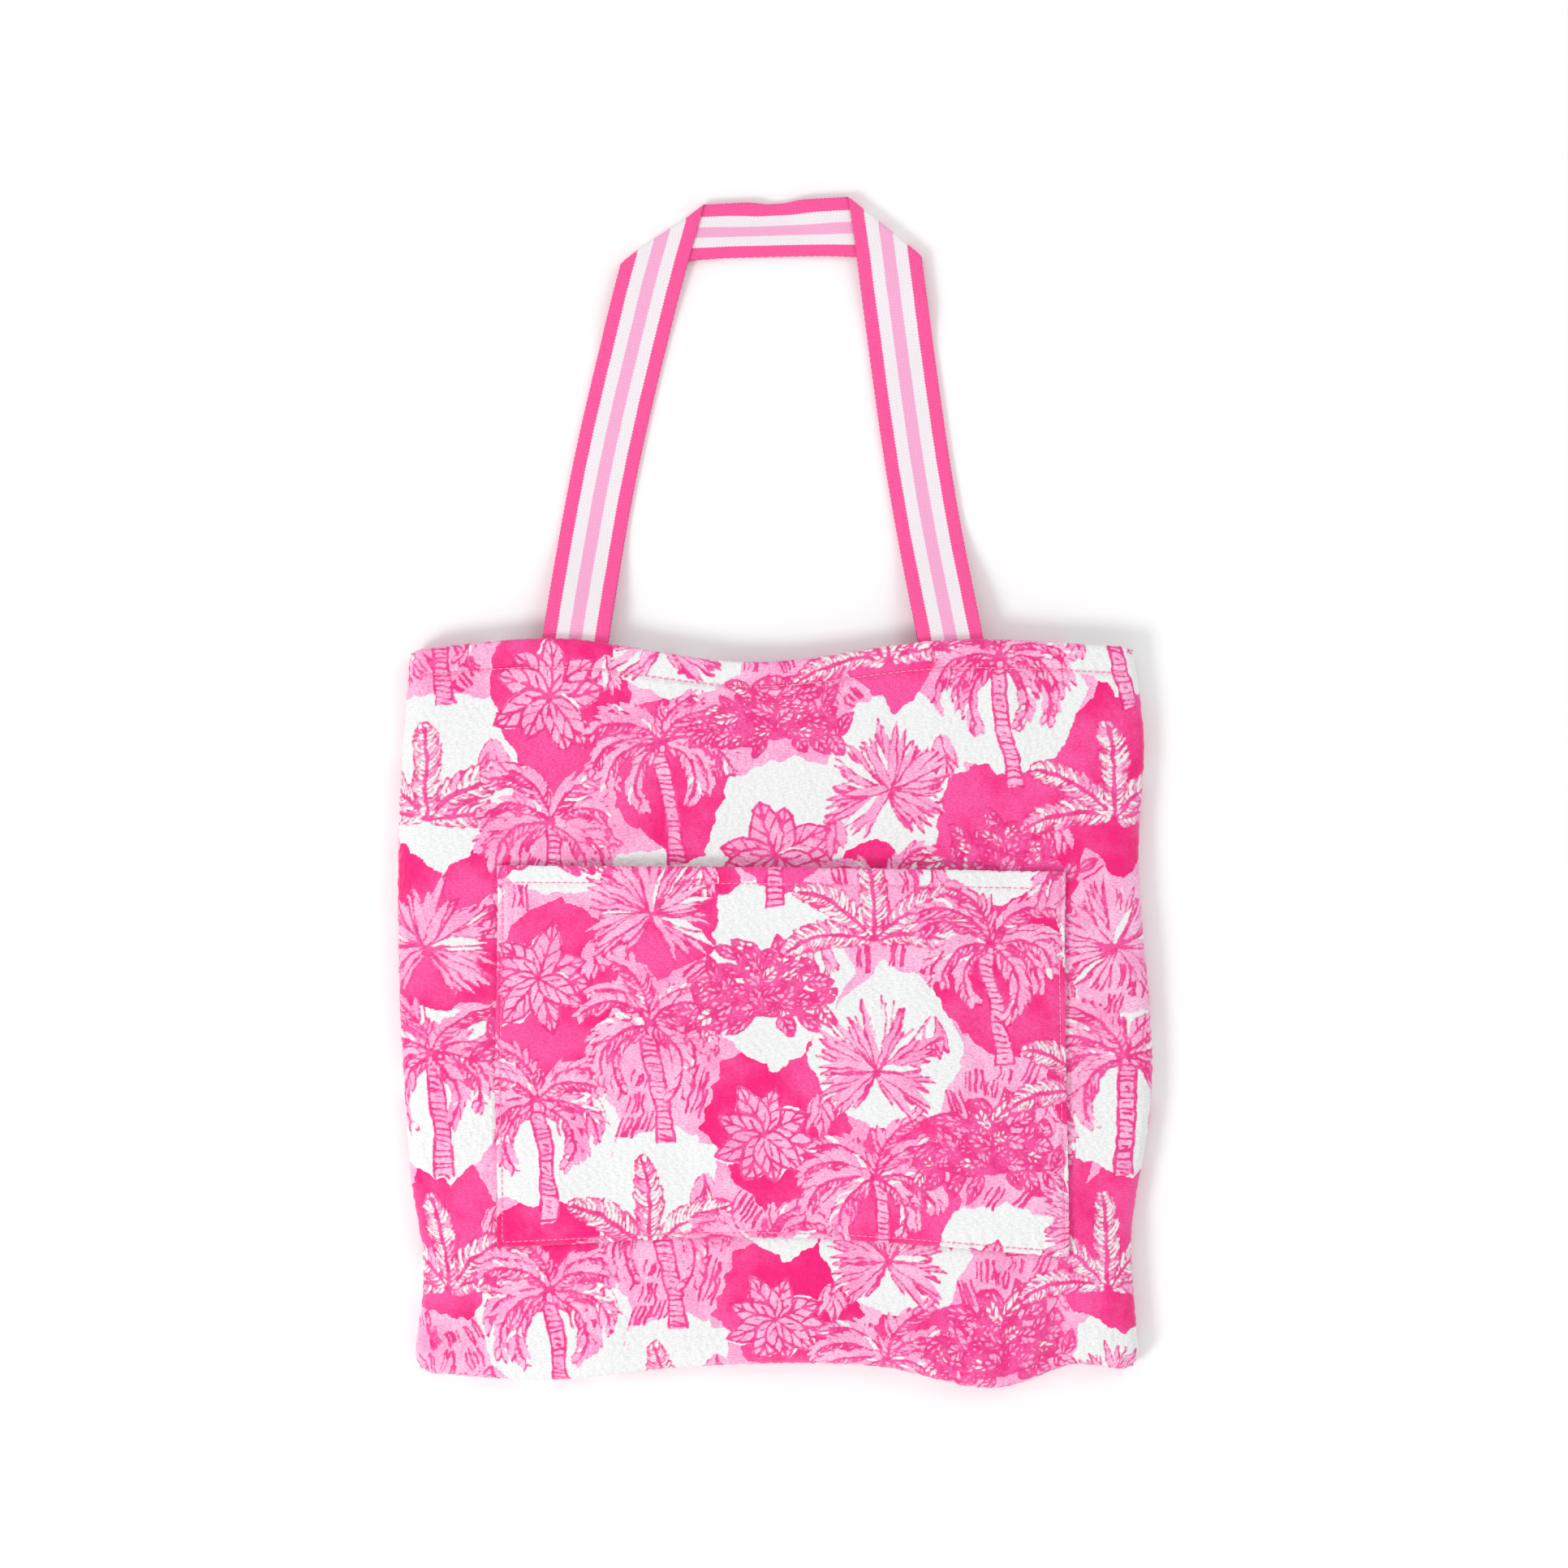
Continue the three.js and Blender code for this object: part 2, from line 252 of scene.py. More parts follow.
def bend_line(start, angle, length, droop, count=10):
    """Points along a stem that starts at an angle (degrees) and turns by `droop` degrees on the way."""
    turn = np.radians(angle + droop * np.linspace(0, 1, count) ** 1.2)
    step = length / (count - 1)
    x = start[0] + np.concatenate([[0], np.cumsum(np.cos(turn[:-1]))]) * step
    y = start[1] + np.concatenate([[0], np.cumsum(np.sin(turn[:-1]))]) * step
    return np.stack([x, y], 1)


def wobbly(outline, rng, amount, step=4.0):
    """An outline redrawn as if by hand: more points, each a little off."""
    points = np.asarray(outline, float)
    ring = np.vstack([points, points[:1]])
    out = []
    for a, b in zip(ring[:-1], ring[1:]):
        n = max(1, int(np.hypot(*(b - a)) / step))
        out += [a + (b - a) * k / n for k in range(n)]
    out = np.array(out)
    drift = np.cumsum(rng.normal(0, 1, out.shape), axis=0)
    drift -= np.linspace(0, 1, len(out))[:, None] * drift[-1]
    drift /= max(1.0, np.abs(drift).max())
    return out + amount * (drift + rng.normal(0, 0.25, out.shape))


def ground(canvas, outline, seed, light=0.0, hot=0.0, amount=4.0):
    """A patch of colour with a loose brushed edge."""
    rng = np.random.default_rng(seed)
    rough = wobbly(outline, rng, amount, 5.0)
    canvas.fill(wobbly(rough, rng, 0.9, 1.6), light, hot)


def blade(canvas, base, angle, length, width, light, curl=18, both=False):
    """One narrow leaflet: a filled sliver with a pen line down one side, or both."""
    mid = bend_line(base, angle, length, curl, 5)
    across = np.radians(angle + 90)
    side = np.array([math.cos(across), math.sin(across)])
    swell = np.array([0.5, 1.0, 1.0, 0.8, 0.15])[:, None] * width / 2
    upper, lower = mid + side * swell, mid - side * swell
    canvas.fill(np.vstack([upper, lower[::-1]]), light=light)
    canvas.stroke(upper if curl > 0 else lower, PEN * 0.8, 0.85)
    if both:
        canvas.stroke(lower if curl > 0 else upper, PEN * 0.6, 0.8)


def frond(canvas, start, angle, length, droop, rng, light=1.0, leaflet=0.27):
    """A palm frond: a drooping rib with close leaflets that shorten towards the tip."""
    count = max(7, int(length / 3.0))
    rib = bend_line(start, angle, length, droop, count + 1)
    heading = np.degrees(np.arctan2(*np.gradient(rib, axis=0).T[::-1]))
    for i in range(1, count + 1):
        reach = length * leaflet * (0.5 + 0.6 * math.sin(math.pi * (i / (count + 1)) ** 0.8))
        for side in (1, -1):
            lean = heading[i] + side * rng.uniform(18, 42)
            fall = -side * 18 + (-20 if math.cos(math.radians(lean)) > 0 else 20)
            tone = light if rng.random() < 0.93 else 0.0
            blade(canvas, rib[i], lean, reach * rng.uniform(0.8, 1.15), 3.7, tone, fall, rng.random() < 0.3)
    canvas.stroke(rib, PEN * 0.9)


def trunk(canvas, base, top, width, rng, light=1.0, ring=3.4):
    """A ringed trunk between two points, with hatching down its shaded side."""
    base, top = np.array(base, float), np.array(top, float)
    run = top - base
    length = np.hypot(*run)
    run /= length
    side = np.array([-run[1], run[0]])
    t = np.linspace(0, 1, 14)
    sway = 2.2 * np.sin(t * 4.0 + rng.uniform(0, 6))[:, None] * side
    spine = base + t[:, None] * run * length + sway
    half = (width / 2 * (1 + 0.35 * (1 - t) ** 3))[:, None]
    left, right = spine + side * half, spine - side * half
    canvas.fill(np.vstack([left, right[::-1]]), light=light)
    canvas.stroke(left, PEN)
    canvas.stroke(right, PEN)
    for k in range(int(length / ring)):
        at = (k + rng.uniform(0.3, 0.7)) * ring / length
        i = min(int(at * 13), 12)
        middle = spine[i] + (spine[i + 1] - spine[i]) * (at * 13 - i)
        reach = side * half[i] * (0.95 if rng.random() < 0.6 else rng.uniform(0.2, 0.8))
        far = middle - reach - run * rng.uniform(0.8, 2.2)
        canvas.stroke([middle + reach, middle - run * 0.6, far], PEN * 0.8)


def fan(canvas, start, angle, spread, length, seed, light=1.0):
    """A fan of long slivers hanging from one point, with bare cloth between some of them."""
    rng = np.random.default_rng(seed)
    count = int(spread * length / 170)
    for k in rng.permutation(count + 1):
        lean = angle + spread * (k / count - 0.5) + rng.uniform(-4, 4)
        reach = length * rng.uniform(0.72, 1.05) * (1 - 0.25 * abs(2 * k / count - 1))
        fall = rng.uniform(4, 16) * (-1 if math.cos(math.radians(lean)) > 0 else 1)
        tone = light if rng.random() < 0.86 else 0.0
        blade(canvas, start, lean, reach, rng.uniform(3.6, 5.6), tone, fall, rng.random() < 0.5)


def palm(canvas, crown, base, size, seed, light=1.0, width=7.0, fronds=11):
    rng = np.random.default_rng(seed)
    trunk(canvas, base, crown, width, rng)
    for k in rng.permutation(fronds):
        angle = 205 - 230 * k / (fronds - 1) + rng.uniform(-8, 8)
        outward = math.cos(math.radians(angle))
        droop = -(70 + 30 * abs(outward)) * (1 if outward > 0 else -1)
        frond(canvas, crown, angle, size * rng.uniform(0.8, 1.08), droop, rng, light)


def leaf(canvas, base, angle, length, width, rng, light=1.0, rim=1.6):
    """A broad pointed leaf with a midrib and veins."""
    mid = bend_line(base, angle, length, rng.uniform(-25, 25), 9)
    t = np.linspace(0, 1, 9)
    half = (width / 2 * np.sin(math.pi * t**0.8) ** 0.8)[:, None]
    heading = np.gradient(mid, axis=0)
    side = np.stack([-heading[:, 1], heading[:, 0]], 1)
    side /= np.maximum(np.hypot(*side.T), 1e-9)[:, None]
    upper, lower = mid + side * half, mid - side * half
    if rim and rng.random() < 0.7:
        loose = rim * rng.uniform(0.0, 1.8, (9, 1))
        near, far = mid + side * (half + loose), mid - side * (half + rim * 0.4)
        canvas.fill(np.vstack([near, far[::-1]]), light=0.0)
    canvas.fill(np.vstack([upper, lower[::-1]]), light=light)
    for edge in (upper, lower, mid):
        canvas.stroke(edge, PEN)
    for k in range(2, 8, 2):
        ahead = mid[min(k + 1, 8)]
        canvas.stroke([mid[k - 1], ahead + side[k] * half[k] * 0.8], PEN * 0.7)
        canvas.stroke([mid[k - 1], ahead - side[k] * half[k] * 0.8], PEN * 0.7)


def sprig(canvas, base, angle, length, size, seed, light=1.0, pairs=4):
    """A stem of small leaves, growing from its tip down so that nearer leaves lie on top."""
    rng = np.random.default_rng(seed)
    stem = bend_line(base, angle, length, rng.uniform(-20, 20), 2 * pairs)
    canvas.stroke(stem, PEN * 1.2)
    for k in range(2 * pairs - 1, 0, -1):
        side = 1 if k % 2 else -1
        tone = light if rng.random() < 0.75 else 0.0
        spread = side * rng.uniform(30, 75)
        reach, girth = size * rng.uniform(0.7, 1.25), size * rng.uniform(0.38, 0.62)
        leaf(canvas, stem[k], angle + spread, reach, girth, rng, tone, 0.5)


def fern(canvas, start, angle, length, droop, seed, light=0.0, reach=0.24):
    """A long feather of narrow leaflets, paler than a palm frond."""
    rng = np.random.default_rng(seed)
    rib = bend_line(start, angle, length, droop, 22)
    heading = np.degrees(np.arctan2(*np.gradient(rib, axis=0).T[::-1]))
    for i in range(1, 22):
        size = length * reach * math.sin(math.pi * (0.12 + 0.86 * i / 22)) ** 0.7
        for side in (1, -1):
            tone = light if rng.random() < 0.7 else 1.0
            blade(canvas, rib[i], heading[i] + side * rng.uniform(38, 52), size, 4.0, tone, -side * 16, True)
    canvas.stroke(rib, PEN * 1.3)


def hatch(canvas, middle, size, angle, seed, count=9, weight=1.0):
    """A patch of loose parallel pen strokes."""
    rng = np.random.default_rng(seed)
    turn = math.radians(angle)
    along = np.array([math.cos(turn), math.sin(turn)])
    across = np.array([-along[1], along[0]])
    for k in range(count):
        step = across * size[1] * (k / max(count - 1, 1) - 0.5)
        place = np.array(middle, float) + step + rng.normal(0, 0.6, 2)
        reach = size[0] / 2 * rng.uniform(0.6, 1.0)
        knee = place + across * rng.normal(0, 0.8)
        canvas.stroke([place - along * reach, knee, place + along * reach], PEN * weight)


def hatch_bare_places(canvas, seed, tries):
    """Pen hatching wherever a good patch of plain light pink is left."""
    rng = np.random.default_rng(seed)
    reach = int(4.5 / canvas.CELL)
    for _ in range(tries):
        row = rng.integers(reach, canvas.shape[0] - reach)
        column = rng.integers(reach, canvas.shape[1] - reach)
        near = (slice(row - reach, row + reach), slice(column - reach, column + reach))
        plain = canvas.light[near].mean() > 0.93 and canvas.hot[near].max() < 0.1
        if plain and canvas.line[near].mean() < 0.03:
            x, y = canvas.low + np.array([column, row]) * canvas.CELL
            lean = 78 + 30 * math.sin(x / 37) + 24 * math.sin(y / 29 + 1)
            hatch(canvas, (x, y), (rng.uniform(9, 16), 7.5), lean, int(rng.integers(1e6)), 4, 0.95)


# ---------------------------------------------------------------- the print: a generic garden in half-drop

POCKET_CUT = np.array([7.0, -112.0])
REPEAT_X, REPEAT_Y = 66.0, 92.0
PATCH_X, PATCH_Y = 43.0, 55.0
PATCH_SEED, FILLER_SEED, MOTIF_SEED = 700, 800, 900
HATCH_SEED, HATCH_TRIES, LOOSEN_SEED = 500, 9000, 600


def palm_motif(page, x, y, seed):
    palm(page, (x, y + 20), (x + 7, y - 50), 46, seed, width=8)


def leaf_motif(page, x, y, seed):
    rng = np.random.default_rng(seed)
    for angle in range(0, 360, 40):
        leaf(page, (x, y), angle + rng.uniform(-12, 12), rng.uniform(26, 36), 17, rng)


def fan_motif(page, x, y, seed):
    for k, angle in enumerate((-30, 210, 30, 150, 90)):
        fan(page, (x, y - 6), angle, 62, 42, seed + k)


def bush_motif(page, x, y, seed):
    for k, angle in enumerate((175, 5, 145, 35, 115, 65, 90)):
        sprig(page, (x, y - 22), angle, 36, 16, seed + k)


def fern_motif(page, x, y, seed):
    for k, (angle, droop) in enumerate([(165, 50), (15, -50), (130, 40), (50, -40), (90, 12)]):
        fern(page, (x, y - 24), angle, 54, droop, seed + k)


MOTIFS = [palm_motif, fern_motif, leaf_motif, palm_motif, bush_motif, fan_motif]


def backdrop(page, x, y, seed, hot):
    """A loose patch behind a motif, of hot pink or of bare cloth."""
    rng = np.random.default_rng(seed)
    turn = np.linspace(0, 2 * math.pi, 9)[:-1]
    reach = rng.uniform(0.8, 1.15, 8)
    outline = np.stack([x + PATCH_X * reach * np.cos(turn), y + PATCH_Y * reach * np.sin(turn)], 1)
    ground(page, outline, seed, hot=hot)


def half_drop():
    """The places of the motifs: upright columns, every other one lowered by half a step."""
    for column in range(-4, 5):
        for row in range(-3, 4):
            yield column, row, column * REPEAT_X, (row - 0.5 * (column % 2)) * REPEAT_Y


def toile():
    page = Canvas((-240, -275), (240, 240))
    page.light[:] = 1
    for column, row, x, y in half_drop():
        kind = (2 * column + row) % 5
        if kind != 2:
            backdrop(page, x + 8, y + 4, PATCH_SEED + 10 * column + row, float(kind in (0, 3)))
    for column, row, x, y in half_drop():
        fan(page, (x + REPEAT_X / 2, y + REPEAT_Y / 4), -90, 70, 26, FILLER_SEED + 10 * column + row)
    for column, row, x, y in half_drop():
        motif = MOTIFS[(column + 2 * row) % len(MOTIFS)]
        motif(page, x, y, MOTIF_SEED + 100 * (column + 4) + 10 * (row + 3))
    hatch_bare_places(page, HATCH_SEED, HATCH_TRIES)
    page.loosen(LOOSEN_SEED)
    return page


PRINT = toile()


# ---------------------------------------------------------------- meshes

def grid_faces(index):
    """Quads over a grid of vertex numbers, facing up where columns run to +X and rows to +Y."""
    return np.stack([index[:-1, :-1], index[:-1, 1:], index[1:, 1:], index[1:, :-1]], -1).reshape(-1, 4)


def rim_faces(outer, inner, rows, columns):
    """Polygons that join the fine outer grid's border to the coarse inner grid's."""
    faces = []
    last_row, last_column = outer.shape[0] - 1, outer.shape[1] - 1
    for k, (a, b) in enumerate(zip(columns[:-1], columns[1:])):
        faces.append([*outer[0, a:b + 1][::-1], inner[0, k], inner[0, k + 1]])
        faces.append([*outer[last_row, a:b + 1], inner[-1, k + 1], inner[-1, k]])
    for k, (a, b) in enumerate(zip(rows[:-1], rows[1:])):
        faces.append([*outer[a:b + 1, last_column][::-1], inner[k, -1], inner[k + 1, -1]])
        faces.append([*outer[a:b + 1, 0], inner[k + 1, 0], inner[k, 0]])
    return faces


def grid_normals(points):
    """Unit normals of a grid of points, on the side that faces up."""
    normal = np.cross(np.gradient(points, axis=1), np.gradient(points, axis=0))
    return normal / np.maximum(np.linalg.norm(normal, axis=-1, keepdims=True), 1e-9)


def mesh_piece(name, points, groups, materials, marks=None, flat=()):
    """A mesh object. points are in mm, and groups are (faces, material number) pairs.
    marks are values kept on the points, for materials to read."""
    lengths, corners, kinds = [], [], []
    for faces, kind in groups:
        if isinstance(faces, np.ndarray):
            lengths.append(np.full(len(faces), faces.shape[1]))
            corners.append(faces.ravel())
        else:
            lengths.append(np.array([len(f) for f in faces]))
            corners.append(np.array([v for f in faces for v in f]))
        kinds.append(np.full(len(faces), kind))
    lengths, corners, kinds = (np.concatenate(x).astype(np.int32) for x in (lengths, corners, kinds))
    mesh = bpy.data.meshes.new(name)
    mesh.vertices.add(len(points))
    mesh.vertices.foreach_set("co", (np.asarray(points) * MM).astype(np.float32).ravel())
    mesh.loops.add(len(corners))
    mesh.loops.foreach_set("vertex_index", corners)
    mesh.polygons.add(len(lengths))
    mesh.polygons.foreach_set("loop_start", np.concatenate([[0], np.cumsum(lengths)[:-1]]).astype(np.int32))
    mesh.polygons.foreach_set("material_index", kinds)
    mesh.polygons.foreach_set("use_smooth", ~np.isin(kinds, flat))
    mesh.update(calc_edges=True)
    for key, values in (marks or {}).items():
        values = np.asarray(values, np.float32)
        if values.ndim == 2:
            mesh.attributes.new(key, "FLOAT_VECTOR", "POINT").data.foreach_set("vector", values.ravel())
        else:
            mesh.attributes.new(key, "FLOAT", "POINT").data.foreach_set("value", values)
    for material in materials:
        mesh.materials.append(material)
    piece = bpy.data.objects.new(name, mesh)
    bpy.context.scene.collection.objects.link(piece)
    return piece


def kept_indices(count, step):
    """Every `step`-th index, with closer ones near both ends, where a cloth turns."""
    near = [0, 1, 2, 3, 4, 5, 6, 8, 10, 12]
    middle = list(range(16, count - 16, step))
    return sorted(set(near + middle + [count - 1 - i for i in near]))


# ---------------------------------------------------------------- the bag's outline and edges

LEFT_EDGE = [(-205, 2), (-150, 7), (-100, 0), (-50, -4), (120, -7), (212, -1)]
RIGHT_EDGE = [(-205, 0), (-130, -4), (-57, 7), (100, 0), (160, 3), (212, -3)]
BOTTOM_EDGE = [(-205, 1), (-130, -3), (-60, 4), (60, 5), (135, -7), (177, 6), (210, 2)]
TOP_EDGE = [(-214, -2), (-135, 5), (-12, -9), (100, 4), (214, 0)]

SIDE_TURN = [(2.2, -0.02), (0.7, 0.04), (0.0, 0.15), (0.3, 0.33), (1.6, 0.56), (4.5, 0.76),
             (9.0, 0.9), (16, 0.98),
             (28, 1.0)]
FOOT_TURN = [(2.2, -0.02), (0.6, 0.05), (0.0, 0.18), (0.4, 0.42), (2.0, 0.68), (5.5, 0.92),
             (11, 1.06), (19, 1.04),
             (30, 0.96), (45, 0.93)]
BODY_RISE = 14.0


def turn_table(table, rise):
    """A cloth edge that rolls over: for each length of cloth from the seam, how far in it is and how high."""
    table = np.array(table, float)
    steps = np.hypot(np.diff(table[:, 0]), np.diff(table[:, 1]) * rise)
    return np.concatenate([[0], np.cumsum(steps)]), table[:, 0], table[:, 1]


SIDE_AT, SIDE_IN, SIDE_UP = turn_table(SIDE_TURN, BODY_RISE)
FOOT_AT, FOOT_IN, FOOT_UP = turn_table(FOOT_TURN, BODY_RISE)


def along_edge(cloth, at, inset, up):
    """The inset and the height share at lengths of cloth from a seam."""
    shown = np.interp(cloth, at, inset)
    return np.where(cloth > at[-1], cloth - at[-1] + inset[-1], shown), np.interp(cloth, at, up)


def round_corners(x, y, half_w, low_y, radius):
    """Rounds both lower corners of the nominal rectangle by turning squares into quarter discs."""
    p = np.abs(x) - (half_w - radius)
    q = (low_y + radius) - y
    inside = (p > 0) & (q > 0)
    reach = np.maximum(np.maximum(p, q), 1e-9)
    angle = np.where(p > q, math.pi / 4 * q / reach, math.pi / 2 - math.pi / 4 * p / reach)
    return (
        np.where(inside, np.sign(x) * (half_w - radius + reach * np.cos(angle)), x),
        np.where(inside, low_y + radius - reach * np.sin(angle), y),
    )


HALF_W = 214.0


def to_outline(x, y, low_y, high_y, top_edge=TOP_EDGE, reach=60.0):
    """Moves nominal places so that the rectangle's edges lie on the photographed outline."""
    out_x = x + curve(LEFT_EDGE, y) * smooth(x, -HALF_W + reach, -HALF_W)
    out_x = out_x + curve(RIGHT_EDGE, y) * smooth(x, HALF_W - reach, HALF_W)
    out_y = y + curve(BOTTOM_EDGE, x) * smooth(y, low_y + reach, low_y)
    out_y = out_y + curve(top_edge, x) * smooth(y, high_y - reach, high_y)
    return out_x, out_y


FOLDS = [
    ((-222, -112), (-160, -92), 9, -1.5), ((-214, -176), (-150, -160), 8, -1.2), ((-205, -204),
    (-140, -150), 7, 1.1),
    ((-222, 20), (-176, 40), 14, 0.9), ((220, -122), (168, -100), 9, -1.7), ((214, -160),
    (170, -176), 7, 1.0),
    ((160, -216), (172, -160), 8, -1.8), ((128, -220), (112, -158), 10, 1.3), ((186, -212),
    (205, -150), 7, 1.0),
    ((-186, -216), (-160, -158), 9, -1.2), ((-84, -214), (-70, -160), 12, -1.0), ((58, -214),
    (40, -160), 13, -0.9),
    ((-138, 216), (-160, 120), 10, 1.0), ((-96, 214), (-60, 110), 12, -0.9), ((84, 216), (60, 120), 11, -0.9),
    ((124, 216), (150, 118), 10, 1.1), ((-216, 150), (-150, 120), 13, -0.9), ((216, 160),
    (150, 130), 12, -0.9),
    ((-30, 205), (10, 150), 16, -1.0), ((178, 70), (214, 110), 9, 0.9), ((178, -30), (214, -60), 9, 0.8),
]


def body_height(x, y):
    """The outer face of the front cloth, away from its edges."""
    height = np.full(np.broadcast(x, y).shape, TOP_Z - 0.6)
    height += -1.8 * bump(y, 150, 38) * (1 - 0.4 * np.abs(x) / HALF_W)
    height += 0.75 * ripple(x, y, 3, 120) + 0.28 * ripple(x, y, 4, 38, 9)
    for start, end, width, rise in FOLDS:
        height += crease(x, y, start, end, width, 1.35 * rise)
    return height


STRAP_ENDS = [(-117, MOUTH_Y), (103, MOUTH_Y)]


def hem_relief(x, below):
    """What the doubled hem, its stitch line and the strap ends behind it do to the face. below is the
    length of cloth below the mouth."""
    pucker = 0.3 * np.sin(x * 2 * math.pi / 8.3 + 1.4 * np.sin(x / 17)) * bump(below, HEM_W, 5.5)
    shape = 0.7 * smooth(below, HEM_W + 2, HEM_W - 3) - 1.25 * bump(below, HEM_W, 1.5) + pucker
    for foot, _ in STRAP_ENDS:
        across = smooth(np.abs(x - foot), STRAP_W / 2 + 3, STRAP_W / 2 - 1)
        shape = shape + 1.2 * across * smooth(below, 21, 16)
    return shape


def pile(points, normals, seed, amount, rough=0.05):
    """Stands the loops of a terry cloth up unevenly, which also roughens its edges."""
    x, y = points[..., 0] + 0.35 * points[..., 2], points[..., 1] - 0.35 * points[..., 2]
    lift = amount * (0.6 * ripple(x, y, seed, 3.6, 9) + 0.5 * ripple(x, y, seed + 1, 7.5, 9))
    lift = lift + np.random.default_rng(seed).normal(0, rough, lift.shape)
    return points + normals * lift[..., None]


# ---------------------------------------------------------------- front and back cloths

def flat_grid(width, length, pitch):
    """Cloth coordinates of a rectangle of cloth, from its lower left corner."""
    across = np.linspace(0, width, int(round(width / pitch)) + 1)
    along = np.linspace(0, length, int(round(length / pitch)) + 1)
    return np.meshgrid(across, along)


def shell_piece(name, outer, inner, rows, columns, materials, marks, facing=1):
    """A closed cloth: outer is a fine grid, inner a grid of its kept rows and columns only."""
    outer_index = np.arange(outer.shape[0] * outer.shape[1]).reshape(outer.shape[:2])
    inner_index = outer.shape[0] * outer.shape[1] + np.arange(len(rows) * len(columns)).reshape(len(rows), -1)
    groups = [(grid_faces(outer_index), 0), (grid_faces(inner_index)[:, ::-1], 1)]
    rim = rim_faces(outer_index, inner_index, rows, columns)
    if facing < 0:
        groups = [(np.ascontiguousarray(faces[:, ::-1]), kind) for faces, kind in groups]
        rim = [face[::-1] for face in rim]
    groups.append((rim, 0))
    points = np.vstack([outer.reshape(-1, 3), inner.reshape(-1, 3)])
    kept = np.ix_(rows, columns)
    values = {}
    for key, value in marks.items():
        tail = value.shape[2:]
        values[key] = np.concatenate([value.reshape(-1, *tail), value[kept].reshape(-1, *tail)])
    return mesh_piece(name, points, groups, materials, values)


def body_cloth(name, facing, pitch, materials, place_print):
    """Half of the bag: facing 1 is the front, above the side seams, and -1 the back, below them."""
    side_extra = SIDE_AT[-1] - SIDE_IN[-1]
    foot_extra = FOOT_AT[-1] - FOOT_IN[-1]
    width, length = 2 * (HALF_W + side_extra), (MOUTH_Y - BOTTOM_Y) + foot_extra + 6.0
    flat_x, flat_y = flat_grid(width, length, pitch)
    from_side = np.minimum(flat_x, width - flat_x)
    inset, side_up = along_edge(from_side, SIDE_AT, SIDE_IN, SIDE_UP)
    x = np.where(flat_x < width / 2, -HALF_W + inset, HALF_W - inset)
    foot_in, foot_up = along_edge(flat_y, FOOT_AT, FOOT_IN, FOOT_UP)
    below = length - flat_y
    top_turn = np.array([(0, 0.9, -5.2), (1.2, 0.25, -4.2), (3.0, 0, -2.5), (4.5, 0.3, -1.1), (6, 1.3, -0.3),
                         (9, 3.8, 0)])
    mouth_in = np.where(below < 9, np.interp(below, top_turn[:, 0], top_turn[:, 1]), below - 5.2)
    mouth_drop = np.interp(below, top_turn[:, 0], top_turn[:, 2])
    y = np.where(flat_y < length / 2, BOTTOM_Y + foot_in, MOUTH_Y - mouth_in)
    below_mouth = MOUTH_Y - y

    squeeze = 0.6 + 0.4 * smooth(below_mouth, 0, 40)
    seam = SEAM_Z + 0.3 * facing
    if facing > 0:
        surface = body_height(x, y) + hem_relief(x, below_mouth)
        z = seam + (surface - seam) * side_up * foot_up + mouth_drop * smooth(from_side, 2, 22)
    else:
        rest = BACK_LOW[2] + 0.35 + 0.25 * (1 + 0.7 * ripple(x, y, 8, 60)) - 0.25 * hem_relief(x, below_mouth)
        rest += 0.35 * (1 + bump(below_mouth, HEM_W, 1.5))
        up = 1 - (1 - side_up) * squeeze
        z = seam - (seam - rest) * up * foot_up - mouth_drop * smooth(from_side, 2, 22) * 0.9
    corner_x, corner_y = round_corners(x, y, HALF_W, BOTTOM_Y, 13.0)
    corner_x, corner_y = round_corners(corner_x, -corner_y, HALF_W, -MOUTH_Y, 7.0)
    corner_y = -corner_y
    shape_x, shape_y = to_outline(corner_x, corner_y, BOTTOM_Y, MOUTH_Y)
    if facing < 0:
        shape_x = shape_x * 0.998
        shape_y = shape_y - 0.8 * smooth(y, 150, MOUTH_Y)
        shape_y = shape_y + 1.6 * bump(x, 177, 18) * smooth(y, -170, BOTTOM_Y)
    outer = np.stack([shape_x, shape_y, z], -1)
    normals = grid_normals(outer) * facing
    outer = pile(outer, normals, 50 + facing, 0.28)
    if facing < 0:
        outer[..., 2] = np.maximum(outer[..., 2], BACK_LOW[2] + 0.05)

    rows, columns = kept_indices(outer.shape[0], 4), kept_indices(outer.shape[1], 4)
    kept = np.ix_(rows, columns)
    thick = CLOTH_T * (0.55 + 0.45 * smooth(from_side, 0, 9)) * (0.6 + 0.4 * smooth(flat_y, 0, 9))
    doubled = smooth(below_mouth, HEM_W + 1.5, HEM_W - 1.5) * smooth(from_side, 1, 14)
    thick = thick * (1 + 0.85 * doubled * smooth(below, 0.5, 5))
    thick = thick * (1 - 0.8 * smooth(from_side, 12, 0) * smooth(below, 14, 2))
    inner = (outer - normals * thick[..., None])[kept]
    if facing > 0:
        inner[..., 2] = np.maximum(inner[..., 2], SEAM_Z - 1.5)
    cloth_at = np.stack([flat_x, flat_y, np.full_like(flat_x, 40.0 * facing)], -1) * MM
    ink_x, ink_y = place_print(flat_x - width / 2, flat_y + BOTTOM_Y - foot_extra)
    marks = {"cloth_at": cloth_at, **ink(ink_x, ink_y)}
    piece = shell_piece(name, outer, inner, rows, columns, materials, marks, facing)
    return piece, (width, length)


def ink(x, y):
    """The print's three coverages at places on the printed design."""
    return {
        "print_light": PRINT.read(PRINT.light, x, y),
        "print_hot": PRINT.read(PRINT.hot, x, y),
        "print_line": PRINT.read(PRINT.line, x, y),
    }


def both_sides(values, rows, columns):
    return np.concatenate([values.ravel(), values[np.ix_(rows, columns)].ravel()])


